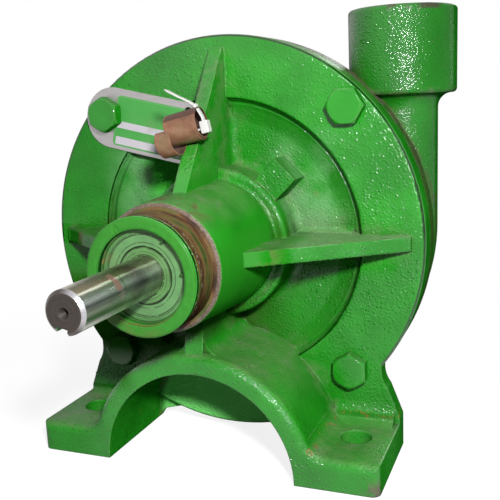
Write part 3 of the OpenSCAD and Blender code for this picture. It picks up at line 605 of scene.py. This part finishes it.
    def dull_sides(self):
        """Matte places below the right rib and on the left of the flange."""
        self.matte(self.x.band(BELOW_RIB_X) * self.z.band(BELOW_RIB_Z) * 0.8)
        self.matte(self.x.fade(LEFT_X) * 0.6)

    def relief(self):
        """Sand on the rough faces, turning lines on the nose and the slope of the recess."""
        smooth = self.barrel.most(self.face)
        slope = self.r.fade(SLOPE_R) * self.facing[1].step(-0.6, -0.9) * self.y.fade(SLOPE_Y)
        cast = self.sand * (1 - smooth * 0.9) * (1 - self.pilot)
        waves = self.swell * (1 - self.face) * 0.8
        turned = self.lathe * self.pilot * 0.25 + self.tool * self.face * 0.06
        return cast + waves + slope * 4 + turned - self.chips * 0.25 - self.line * 0.4

    def roughness(self):
        """Rougher where bare, a little rougher on the face."""
        bare = self.pilot.most(self.rim).most(self.worn).most(self.corner)
        return self.rough * (1 - bare) + bare * 0.6 + self.face * 0.2


def frame_enamel():
    """The bearing frame's finish, layer by layer."""
    p = FrameEnamel()
    for layer in (p.nose_face, p.nose_bore, p.nose_pilot, p.nose_lines, p.shoulder_rim,
                  p.barrel_shadow_and_rust, p.foot_wear, p.rib_wear, p.gusset_dust, p.painted_light_under_arch,
                  p.pale_patch_and_painted_light, p.dull_sides):
        layer()
    return p.finish(p.roughness(), 0.0, p.relief(), depth=0.95, edge=1.6)


# Casing and bolts

BOSS_TOP_Z, BOSS_LOW_Z = (249, 252.6), (203, 207, 2)
CASING_RIM_R, JOINT_R = (117.6, 121, 0.4), (117.6, 120, 0.4)
BOSS_CHIP_X, BOSS_CHIP_Z = (112, 122, 2), (249.5, 251)
RIGHT_X = (100, 122)


def boss_top(p):
    """Bruises round the top of the discharge boss, and the casing's deeper green."""
    worn = p.z.fade(BOSS_TOP_Z) * p.noise(75, 5, 0.7, seed=1.0).step(0.53, 0.60)
    p.lay(worn, p.mix(p.noise(240), DARK_RUST, PURPLE_RUST))
    p.lay(0.42, (0.006, 0.08, 0.005))
    return worn


def casing_dust(p):
    """Pale dust low on the boss, and brown dust on the rim between the flanges."""
    low = p.z.band(BOSS_LOW_Z) * p.noise(90, 4, 0.6, seed=5.3).step(0.46, 0.62)
    rim = p.r.band(CASING_RIM_R) * p.up.step(0.1, 0.6)
    rim = rim * p.noise(110, 4, 0.6, seed=6.9).step(0.36, 0.56)
    p.lay((low * 0.6).most(rim) * 0.7, p.mix(p.noise(300), (0.14, 0.09, 0.06), PINK_DUST))
    joint = p.r.band(JOINT_R) * p.noise(70, 4, 0.6, seed=2.7).step(0.3, 0.6)
    p.lay(joint * 0.6, (0.075, 0.085, 0.03))


def casing_enamel():
    """Enamel of the volute casing, chipped at the right of the discharge boss."""
    p = Enamel("casing enamel", 0.7, 0.05)
    worn = boss_top(p)
    casing_dust(p)
    chip = p.z.fade(BOSS_CHIP_Z) * p.x.band(BOSS_CHIP_X)
    p.lay(chip * p.noise(190, 4, seed=5.1).step(0.36, 0.46) * 0.85, (0.06, 0.04, 0.035))
    p.matte(p.x.fade(RIGHT_X) * 0.7)
    rough = p.rough * (1 - worn) + worn * 0.7
    return p.finish(rough, 0.0, p.sand + p.swell * 0.8 - p.chips * 0.25, depth=0.75, edge=1.6)


def bolt_enamel():
    """Enamel over hexagon heads, rubbed thin at the corners, with a stronger painted highlight
    along their edges.
    """
    p = Enamel("bolt enamel", 0.5, 0.10, 0.8)
    return p.finish(p.rough, 0.0, p.sand * 0.3 + p.swell, depth=0.5, edge=1.2)


# Shaft

CHAMFER_R, CHAMFER_Y = (8.2, 8.5), (-141.8, -142.4)
END_R, END_Y = (8.7, 8.3), (-143.2, -143.9)
CENTRE_R, CENTRE_Y = (3.0, 2.7), (-138, -139)
MARK_Y, SCRATCH_Y = (-116.8, -112.6, 0.5), (-110.4, -109.9, 0.15)
END_RINGS = 2600        # turning rings on the end face, radians per metre of radius


def shaft_painted_reflections(p, across):
    """Ground steel with painted reflections: dark and light bands and a near-white highlight
    line that follow the way the surface faces around the shaft, with streaks along it, faint
    smears and stains.
    """
    smear = p.noise(60, 4, 0.6, stretch=(1, 0.35, 1), seed=1.0)
    drift = (p.noise(130, 5, 0.65, stretch=(1, 0.12, 1), seed=2.0) - 0.5) * 0.14
    p.colour = p.tint(across + drift, (0.03, (0.42, 0.42, 0.35)), (0.10, (0.10, 0.13, 0.075)),
                      (0.25, (0.20, 0.23, 0.17)), (0.38, (0.055, 0.06, 0.06)),
                      (0.49, (0.34, 0.36, 0.35)), (0.64, (0.22, 0.21, 0.18)),
                      (0.69, (1.0, 0.96, 0.82)), (0.73, (0.26, 0.22, 0.14)),
                      (0.88, (0.10, 0.08, 0.045)), (0.97, (0.30, 0.28, 0.21)))
    p.lay(smear.step(0.45, 0.75) * 0.35, (0.55, 0.54, 0.50))
    stain = p.noise(140, 5, 0.7, seed=3.0).step(0.57, 0.68)
    p.lay(stain * 0.45, (0.22, 0.17, 0.11))
    return smear, stain


def shaft_end(p):
    """Painted highlight on the upper right of the chamfer, dark elsewhere on it, and the dull
    end face with its centre mark.
    """
    nx, nz = p.facing[0], p.facing[2]
    painted_highlight_side = (nx + nz * 0.4).step(0.1, 0.75)
    p.lay(p.y.fade(CHAMFER_Y) * p.r.fade(CHAMFER_R),
          p.mix(painted_highlight_side, (0.10, 0.08, 0.075), (0.50, 0.49, 0.51)))
    end = p.y.fade(END_Y) * p.r.fade(END_R)
    end = end.most(p.r.fade(CENTRE_R) * p.y.fade(CENTRE_Y))
    ring = (p.r * END_RINGS).wave() * 0.5 + 0.5
    p.lay(end, p.mix(p.noise(300, 4) * 0.7 + ring * 0.3, (0.018, 0.013, 0.010),
                     (0.044, 0.033, 0.027)))
    return end


def shaft_marks(p, across):
    """Rust mark on the upper side, where something was clamped, and a scratch behind it."""
    nx, nz = p.facing[0], p.facing[2]
    ragged = (p.noise(190, 3, seed=5.0) - 0.5) * 2.4 * MM
    side = across.within(0.42, 0.84, 0.04) * (nx * 0.888 + nz * 0.46).step(0.0, 0.1)
    mark = (p.y + ragged * 1.5).band(MARK_Y) * side * p.noise(260, 4).step(0.22, 0.36)
    p.lay(mark * 0.9, p.mix(p.noise(420, 3), (0.09, 0.045, 0.025), (0.19, 0.10, 0.06)))
    scratch = (p.y + ragged * 0.5).band(SCRATCH_Y) * nz.step(0.1, 0.3)
    p.lay(scratch * 0.7, (0.05, 0.07, 0.035))
    return mark, scratch


def ground_shaft():
    """Ground steel of the shaft."""
    p = Paint("ground shaft steel")
    # Which way the surface faces around the shaft; the painted reflections follow it, and it
    # places the rust mark
    across = p.facing[2] * 0.444 - p.facing[0] * 0.23 + 0.5
    smear, stain = shaft_painted_reflections(p, across)
    end = shaft_end(p)
    mark, scratch = shaft_marks(p, across)
    lines = p.noise(900, 2, 0.5, stretch=(0.03, 1, 0.03))
    rough = smear * 0.10 + 0.20 + end * 0.35 + mark * 0.35 + stain * 0.15
    metal = (1 - mark * 0.9) * (1 - end * 0.9) * 0.85
    return p.finish(rough, metal, lines * 0.5 - scratch * 0.3, depth=0.02, edge=0.3)


# Plain metals and moulded pieces

OVERSPRAY_LEFT_X = (-12, -22)


def oversprayed(name, colour, rough, rust, scribe=()):
    """Steel that caught a thin coat of the same paint; scribe lists dark rings in mm."""
    p = Paint(name)
    thin = p.noise(120, 4, 0.6, seed=1.7)
    p.colour = p.mix(thin.step(0.35, 0.7), tuple(c * 0.8 for c in colour), colour)
    old = p.noise(190, 5, 0.7, seed=5.5).step(0.60, 0.70) * rust
    left = p.x.fade(OVERSPRAY_LEFT_X) * p.noise(170, 4, 0.6, seed=2.8).step(0.40, 0.64)
    p.lay((old + left * rust * 1.2).least(0.6), (0.26, 0.16, 0.05))
    shake = (p.noise(260, 3, 0.6, seed=8.2) - 0.5) * 1.0 * MM
    for place, width in scribe:
        ring = (p.r + shake * 0.5).band((place - width, place + width, 0.12))
        broken = p.noise(200, 3, 0.6, seed=place).step(0.34, 0.46)
        p.lay(ring * broken * 0.85, (0.02, 0.035, 0.012))
    return p.finish(thin * 0.15 + rough, 0.1, p.noise(700, 2, 0.5), depth=0.03, edge=0.25)


def bare_metal(name, colour, rough, line_depth=0.01, edge=0.3):
    """Machined metal with fine lines and faint stains."""
    p = Paint(name)
    lines = p.noise(1100, 2, 0.5, stretch=(0.05, 1, 0.05))
    stain = p.noise(90, 4, 0.6)
    p.colour = p.mix(stain.step(0.3, 0.8), tuple(c * 0.72 for c in colour), colour)
    return p.finish(stain * 0.15 + rough, 1.0, lines, depth=line_depth, edge=edge)


def moulded(name, colour, rough, grain=0.02):
    """Rubber, carbon, ceramic or nylon: matte, with a fine grain."""
    p = Paint(name)
    cloud = p.noise(70, 3)
    p.colour = p.mix(cloud, tuple(c * 0.85 for c in colour), colour)
    return p.finish(cloud * 0.1 + rough, 0.0, p.noise(900, 3, 0.6), depth=grain, edge=0.2)


def cast_iron():
    """Bare iron casting of the impeller."""
    p = Paint("bare cast iron")
    sand = p.noise(480, 4, 0.65)
    p.colour = p.mix(p.noise(40, 4, 0.6).step(0.3, 0.7), (0.13, 0.12, 0.115), (0.25, 0.22, 0.20))
    p.lay(p.noise(70, 5, 0.7, seed=2.0).step(0.58, 0.68) * 0.7, (0.26, 0.13, 0.06))
    return p.finish(sand * 0.2 + 0.5, 0.6, sand, depth=0.3, edge=0.6)


def gasket_edge():
    """Edge of the pressed fibre gasket, half painted over."""
    p = Paint("gasket fibre")
    p.colour = p.mix(p.noise(45, 3).step(0.4, 0.6), (0.04, 0.045, 0.02), (0.11, 0.10, 0.05))
    return p.finish(0.75, 0.0, p.noise(900, 4, 0.7, stretch=(1, 0.4, 1)), depth=0.1)


# Plate: its turn, the centre of its bolt, from which its millimetres are counted, and the
# printed areas as left, right, low and high side with the corner radius

PLATE_TILT = math.radians(-12.6)
PLATE_X, PLATE_Z = -75.8, 199.8
PANEL = (5.8, 55.2, -17.4, 13.3, 2.6)
OPEN_FIELDS = (7.6, 52.5, -6.4, -2.2, 0.5), (7.6, 52.5, -16.4, -11.7, 0.5)
PRINT_EDGE, RULE_INSET, RULE_HALF = 0.12, 0.75, (0.32, 0.12)


def patch(along, over, place):
    """Signed distance to a rounded rectangle given in millimetres."""
    left, right, low, high, corner = place
    qx = abs(along - (left + right) / 2 * MM) - ((right - left) / 2 - corner) * MM
    qz = abs(over - (low + high) / 2 * MM) - ((high - low) / 2 - corner) * MM
    ax, az = qx.most(0), qz.most(0)
    return (ax * ax + az * az).sqrt() + qx.most(qz).least(0) - corner * MM


def plate_areas(p):
    """The printed panel, the line inside its edge, and its two bare fields."""
    dx, dz = p.x - PLATE_X * MM, p.z - PLATE_Z * MM
    along = dx * math.cos(PLATE_TILT) + dz * math.sin(PLATE_TILT)
    over = dz * math.cos(PLATE_TILT) - dx * math.sin(PLATE_TILT)
    panel = patch(along, over, PANEL)
    field = patch(along, over, OPEN_FIELDS[0]).least(patch(along, over, OPEN_FIELDS[1]))
    return (panel.fade((PRINT_EDGE, -PRINT_EDGE)), abs(panel + RULE_INSET * MM).fade(RULE_HALF),
            field.fade((PRINT_EDGE, -PRINT_EDGE)))


def printed_plate():
    """Thin aluminium plate with a printed panel and two bare fields."""
    p = Paint("printed aluminium")
    ink, rule, open_field = plate_areas(p)
    front = p.facing[1].step(-0.5, -0.8)
    worn = p.noise(130, 5, 0.7, seed=4.0)
    brush = p.noise(700, 3, 0.6, stretch=(0.15, 1, 1))
    alu = p.mix(brush * 0.6 + worn * 0.4, (0.36, 0.34, 0.34), (0.54, 0.51, 0.52))
    p.colour = alu
    p.lay(ink * worn.step(0.75, 0.66), p.mix(worn, (0.055, 0.34, 0.06), (0.09, 0.42, 0.09)))
    p.lay(rule * 0.35, (0.30, 0.52, 0.28))
    p.lay(open_field * worn.step(0.78, 0.66), (0.66, 0.62, 0.68))
    p.colour = p.mix(front, alu, p.colour)
    p.lay(p.noise(60, 4, 0.6, seed=8.0).step(0.52, 0.75) * 0.35, DUST)
    height = brush * 0.3 + ink * 0.5 - open_field * 0.3
    return p.finish(brush * 0.12 + 0.36 + ink * 0.1, 0.75 - ink * front * 0.7, height,
                    depth=0.05, edge=0.35)


# Curled strip and tie: how they sit on the upright gusset, in millimetres

GUSSET_TOP, GUSSET_REACH, ROOT_R = 111, 58, 75 / 2      # radii and reach of the gusset
GUSSET_AHEAD, GUSSET_SUNK = 3, 1        # where its front line starts at the top and ends
CONTACT_R = 62.6        # radius from the shaft's axis at which the roll touches the gusset
ROLL_R = 8.9            # outer radius of the roll
ROLL_SUNK = 1.1         # how far the roll is set into the gusset's line
ROLL_X = -1.5
ROLL_SHIFT = (1.0, 0, 1.5)
ROLL_TILT = math.radians(12)
ROLL_LEFT = (10.5, 9.5)                 # left of the roll's middle, the fade from lobe to roll
STRIP_THICK = 0.6
STRIP_WAVE = 0.1                        # how much the radius waves
ROLL_FROM, ROLL_TURNS = 148, 1.45       # degrees, turns
ROLL_HALF, ROLL_SHRINK = 9.4, 1.3       # half its length, and loss of radius
ROLL_ENDS = (0.5, 3.1, 1), (0.3, 9, 0)  # waves of its ends: size, rate and start
LOBE_FROM, LOBE_SWEEP, LOBE_R, LOBE_HALF = 118, 238, 7.4, 4.6
LOBE_SHRINK, LOBE_DRIFT = 0.8, 3.0      # loss of radius, and sideways drift
LOBE_AT = (-11.2, -2.6, -6.6)
TIE_WIDE, TIE_THICK, TAIL_THICK, TAIL_TAPER = 3.2, 1.1, 1.0, 2.5
TIE_LOW, TIE_OUT = -3.4, 11.0           # height of the strap, and how far out it turns up
TAIL_REST = [[9.6, 6], [8.2, 9.2], [5.8, 11.8], [-0.4, 16.4], [-7.6, 22.2]]
HEAD_HALF, HEAD_BELOW, HEAD_ABOVE, HEAD_CORNER = (2.3, 2.6), 2.7, 4.1, 0.8
KNUCKLE, KNUCKLE_CORNER = ([7.4, -1.9, 8.2], [9.2, 1.9, 10.4]), 0.7


def from_curl(points):
    """Local millimetres (along the roll, towards the pump, up) to the pump's frame in metres."""
    slope = (GUSSET_TOP - ROOT_R + GUSSET_SUNK) / (GUSSET_REACH - GUSSET_AHEAD)
    angle = math.atan(1 / slope)
    off = ROLL_R - ROLL_SUNK
    ahead = FLANGE_Y - GUSSET_AHEAD - (GUSSET_TOP - CONTACT_R) / slope - off * math.cos(angle)
    centre = np.array([ROLL_X, ahead, SHAFT_Z + CONTACT_R + off * math.sin(angle)])
    x, y, z = points[..., 0], points[..., 1], points[..., 2]
    turned = np.stack([x * math.cos(ROLL_TILT) - z * math.sin(ROLL_TILT), y,
                       x * math.sin(ROLL_TILT) + z * math.cos(ROLL_TILT)], -1)
    return (turned + centre + np.array(ROLL_SHIFT)) * MM


def aged_tape():
    """Curled brown strip, dark on faces turned towards the roll's axis and in a band over the
    top of the roll.
    """
    p = Paint("aged strip")
    cloud = p.noise(150, 5, 0.65, stretch=(0.6, 1, 1))
    fibre = p.noise(900, 3, 0.6, stretch=(0.2, 1, 1))
    p.colour = p.tint(cloud, (0.30, (0.14, 0.065, 0.038)), (0.5, (0.25, 0.115, 0.065)),
                      (0.7, (0.35, 0.19, 0.12)))
    p.lay(p.noise(60, 3, seed=3.0).step(0.55, 0.75) * 0.4, (0.20, 0.19, 0.09))
    centre_x, centre_y, centre_z = from_curl(np.zeros(3)).tolist()
    dy, dz = p.y - centre_y, p.z - centre_z
    away = (dy * dy + dz * dz).sqrt()
    turned_in = (dy * p.facing[1] + dz * p.facing[2]) / away
    p.lay(turned_in.step(-0.2, -0.6) * 0.8, (0.05, 0.028, 0.022))
    top = (dz - (p.x - centre_x) * math.tan(ROLL_TILT)) / away
    on_roll = p.x.step(*(centre_x - place * MM for place in ROLL_LEFT))
    p.lay(top.step(0.50, 0.58) * on_roll * 0.85, (0.05, 0.018, 0.012))
    return p.finish(cloud * 0.2 + 0.42, 0.0, fibre * 0.5 + cloud * 0.5, depth=0.15)


# Surfaces

def surface(name, points, closed_v=False, caps=False):
    """Mesh of a grid of points[u, v, xyz]; faces look along du x dv."""
    nu, nv = points.shape[:2]
    ids = np.arange(nu * nv).reshape(nu, nv)
    u = np.arange(nu - 1)
    v = np.arange(nv if closed_v else nv - 1)
    after = (v + 1) % nv
    ring = [ids[u][:, v], ids[u + 1][:, v], ids[u + 1][:, after], ids[u][:, after]]
    faces = np.stack(ring, -1).reshape(-1, 4).tolist()
    if caps:
        faces += [ids[0].tolist(), ids[-1][::-1].tolist()]
    mesh = bpy.data.meshes.new(name)
    mesh.from_pydata(points.reshape(-1, 3).tolist(), [], faces)
    mesh.update()
    mesh.polygons.foreach_set("use_smooth", [True] * len(mesh.polygons))
    obj = bpy.data.objects.new(name, mesh)
    bpy.context.scene.collection.objects.link(obj)
    return obj


def outward(obj):
    """Merges doubles and turns every face outwards."""
    work = bmesh.new()
    work.from_mesh(obj.data)
    bmesh.ops.remove_doubles(work, verts=work.verts, dist=1e-6)
    bmesh.ops.recalc_face_normals(work, faces=work.faces)
    work.to_mesh(obj.data)
    work.free()


def flat_section(count):
    """Closed section across a strip, as fractions: a long flat loop with round ends."""
    across = np.linspace(-1, 1, count)
    turn = np.linspace(-1.2, 1.2, 5)
    x = np.concatenate([across, 1 + 0.02 * np.cos(turn), across[::-1], -1 - 0.02 * np.cos(turn)])
    h = np.concatenate([np.full(count, -0.5), 0.5 * np.sin(turn),
                        np.full(count, 0.5), 0.5 * np.sin(-turn)])
    return x[None], h[None]


def strip_roll():
    """Strip wound into a roll: point = (half * x, r * cos a, r * sin a).

    The radius r falls slowly with the winding angle a and waves a little; both faces are that
    spiral moved half a thickness either way, closed by round edges."""
    x, h = flat_section(17)
    t = np.linspace(0, 1, 150)[:, None]
    a = np.radians(ROLL_FROM) + t * np.radians(360 * ROLL_TURNS)
    r = ROLL_R - ROLL_SHRINK * t + STRIP_WAVE * np.sin(4 * a + 2 * x) + h * STRIP_THICK
    half = ROLL_HALF - sum(size * np.sin(rate * t + start) for size, rate, start in ROLL_ENDS)
    points = np.stack([half * x, r * np.cos(a), r * np.sin(a)], -1)
    return surface("curled_strip_roll", from_curl(points), closed_v=True, caps=True)


def strip_lobe():
    """End of the strip that hangs as a second, smaller curl.

    Point = place + (half * x + drift * t^2, r * cos a, r * sin a), with a falling radius r."""
    x, h = flat_section(17)
    t = np.linspace(0, 1, 70)[:, None]
    a = np.radians(LOBE_FROM) + t * np.radians(LOBE_SWEEP)
    r = LOBE_R - LOBE_SHRINK * t + h * STRIP_THICK + STRIP_WAVE * np.sin(3 * a)
    points = np.stack([LOBE_AT[0] + LOBE_HALF * x + LOBE_DRIFT * t ** 2,
                       r * np.cos(a) + LOBE_AT[1], r * np.sin(a) + LOBE_AT[2]], -1)
    return surface("curled_strip_lobe", from_curl(points), closed_v=True, caps=True)


def smoothed_path(path, pitch=0.45):
    """Even steps along a path with its corners averaged away, and the length at each step."""
    path = np.array(path, float)
    length = np.concatenate([[0], np.cumsum(np.linalg.norm(np.diff(path, axis=0), axis=1))])
    s = np.linspace(0, length[-1], max(24, int(length[-1] / pitch)))
    centre = np.stack([np.interp(s, length, path[:, i]) for i in (0, 1)], -1)
    kernel = np.ones(5) / 5
    for i in (0, 1):
        smooth = np.convolve(np.pad(centre[:, i], 2, mode="edge"), kernel, mode="valid")
        centre[1:-1, i] = smooth[1:-1]
    return centre, s


def band_along(name, path, width, thick, taper=0):
    """Flat band along a path in the roll's XZ plane: point = centre + normal * n, across w.

    The section is a superellipse, w and n the signed powers of cosine and sine."""
    centre, s = smoothed_path(path)
    tangent = np.gradient(centre, axis=0)
    tangent /= np.linalg.norm(tangent, axis=1)[:, None]
    normal = np.stack([-tangent[:, 1], tangent[:, 0]], -1)
    a = np.linspace(0, 2 * np.pi, 20, endpoint=False)
    squareness = 0.35
    w = np.sign(np.cos(a)) * np.abs(np.cos(a)) ** squareness * width / 2
    n = np.sign(np.sin(a)) * np.abs(np.sin(a)) ** squareness * thick / 2
    fade = np.ones_like(s)
    if taper:
        fade = np.clip((s[-1] - s) / taper, 0.02, 1) ** 0.5
    w, n = w[None] * fade[:, None], n[None] * fade[:, None]
    points = np.stack([centre[:, None, 0] + normal[:, None, 0] * n, w,
                       centre[:, None, 1] + normal[:, None, 1] * n], -1)
    return surface(name, from_curl(points), closed_v=True, caps=True)


def rounded_block(name, low, high, corner):
    """Block between two corners with soft edges: a ball of radius corner, pushed apart."""
    low, high = np.array(low, float), np.array(high, float)
    u = np.linspace(-np.pi / 2, np.pi / 2, 25)
    v = np.linspace(0, 2 * np.pi, 48, endpoint=False)
    uu, vv = np.meshgrid(u, v, indexing="ij")
    ball = np.stack([np.cos(uu) * np.cos(vv), np.cos(uu) * np.sin(vv), np.sin(uu)], -1)
    core = (high - low) / 2 - corner
    pushed = np.sign(ball) * core * np.minimum(1, np.abs(ball) * 6) + ball * corner
    return surface(name, from_curl(pushed + (low + high) / 2), closed_v=True)


def tie_pieces():
    """Cable tie: strap into the roll, the long free tail, ratchet head and a knuckle."""
    low, out = TIE_LOW, TIE_OUT
    strap = band_along("tie_strap", [[-2, low], [out + 2, low]], TIE_WIDE, TIE_THICK)
    tail = band_along("tie_tail", [[out, low + 2.5], [out - 0.3, 3], *TAIL_REST],
                      TIE_WIDE, TAIL_THICK, TAIL_TAPER)
    side, wide = HEAD_HALF
    head = rounded_block("tie_head", [out - side, -wide, low - HEAD_BELOW],
                         [out + side, wide, low + HEAD_ABOVE], HEAD_CORNER)
    knuckle = rounded_block("tie_knuckle", *KNUCKLE, KNUCKLE_CORNER)
    return [strap, tail, head, knuckle]


def join(name, parts, material):
    """Makes one closed object of several and gives it its finish."""
    for obj in bpy.context.selected_objects:
        obj.select_set(False)
    for part in parts:
        part.select_set(True)
    whole = parts[0]
    bpy.context.view_layer.objects.active = whole
    bpy.ops.object.join()
    whole.name = whole.data.name = name
    whole.data.materials.append(material)
    outward(whole)
    return whole


# Build

place_camera()
for lamp in LAMPS:
    soft_box(*lamp)
backdrop()
floor()

steel = bare_metal("bearing steel", (0.62, 0.61, 0.59), 0.22)
pressed = bare_metal("pressed steel", (0.60, 0.56, 0.48), 0.35)
polished = bare_metal("polished balls", (0.80, 0.80, 0.80), 0.06, 0.002, 0.0001)
zinc = bare_metal("zinc plate", (0.62, 0.62, 0.58), 0.32)
dark_steel = bare_metal("dark spring steel", (0.12, 0.12, 0.12), 0.4)
rubber = moulded("nitrile rubber", (0.02, 0.02, 0.02), 0.55, 0.05)
tape = aged_tape()
nylon = moulded("white nylon", (0.78, 0.77, 0.74), 0.35, 0.01)

FINISH = {
    "bearing_frame": frame_enamel(),
    "volute_casing": casing_enamel(),
    "casing_bolts": bolt_enamel(),
    "casing_gasket": gasket_edge(),
    "pump_shaft": ground_shaft(),
    "retaining_ring": oversprayed("painted wire", (0.03, 0.12, 0.018), 0.35, 0.8),
    "front_outer_race": oversprayed("outer race overspray", (0.11, 0.28, 0.09), 0.4, 0.5,
                                    [(23.2, 0.4), (21.2, 0.15)]),
    "front_inner_race": oversprayed("inner race overspray", (0.12, 0.29, 0.09), 0.35, 0.3,
                                    [(10.5, 0.3), (12.0, 0.15), (13.9, 0.35)]),
    "front_shields": oversprayed("shield overspray", (0.14, 0.33, 0.12), 0.4, 0.4,
                                 [(14.6, 0.3), (16.4, 0.22), (20.4, 0.3)]),
    "front_cage": pressed, "rear_cage": pressed,
    "front_balls": polished, "rear_balls": polished,
    "rear_outer_race": steel, "rear_inner_race": steel, "rear_shields": steel,
    "shaft_circlip": dark_steel, "impeller_key": steel, "seal_spring": steel,
    "slinger": rubber, "seat_cup": rubber, "seal_bellows": rubber,
    "seal_seat": moulded("lapped ceramic", (0.72, 0.70, 0.63), 0.25, 0.005),
    "seal_face": moulded("lapped carbon", (0.03, 0.03, 0.03), 0.3, 0.005),
    "impeller": cast_iron(), "impeller_washer": zinc, "impeller_nut": zinc,
    "drain_plug": oversprayed("plug overspray", (0.05, 0.30, 0.05), 0.35, 0.5),
    "name_plate": printed_plate(),
    "curled_strip": tape, "cable_tie": nylon,
}
for node, material in FINISH.items():
    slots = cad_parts[node].data.materials
    slots.clear()
    slots.append(material)

strip = join("curled_strip_sheet", [strip_roll(), strip_lobe()], tape)
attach(strip, "housing")
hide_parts("curled_strip")

tie = join("nylon_tie", tie_pieces(), nylon)
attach(tie, "housing")
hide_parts("cable_tie")

bpy.context.scene.view_settings.view_transform = "Standard"
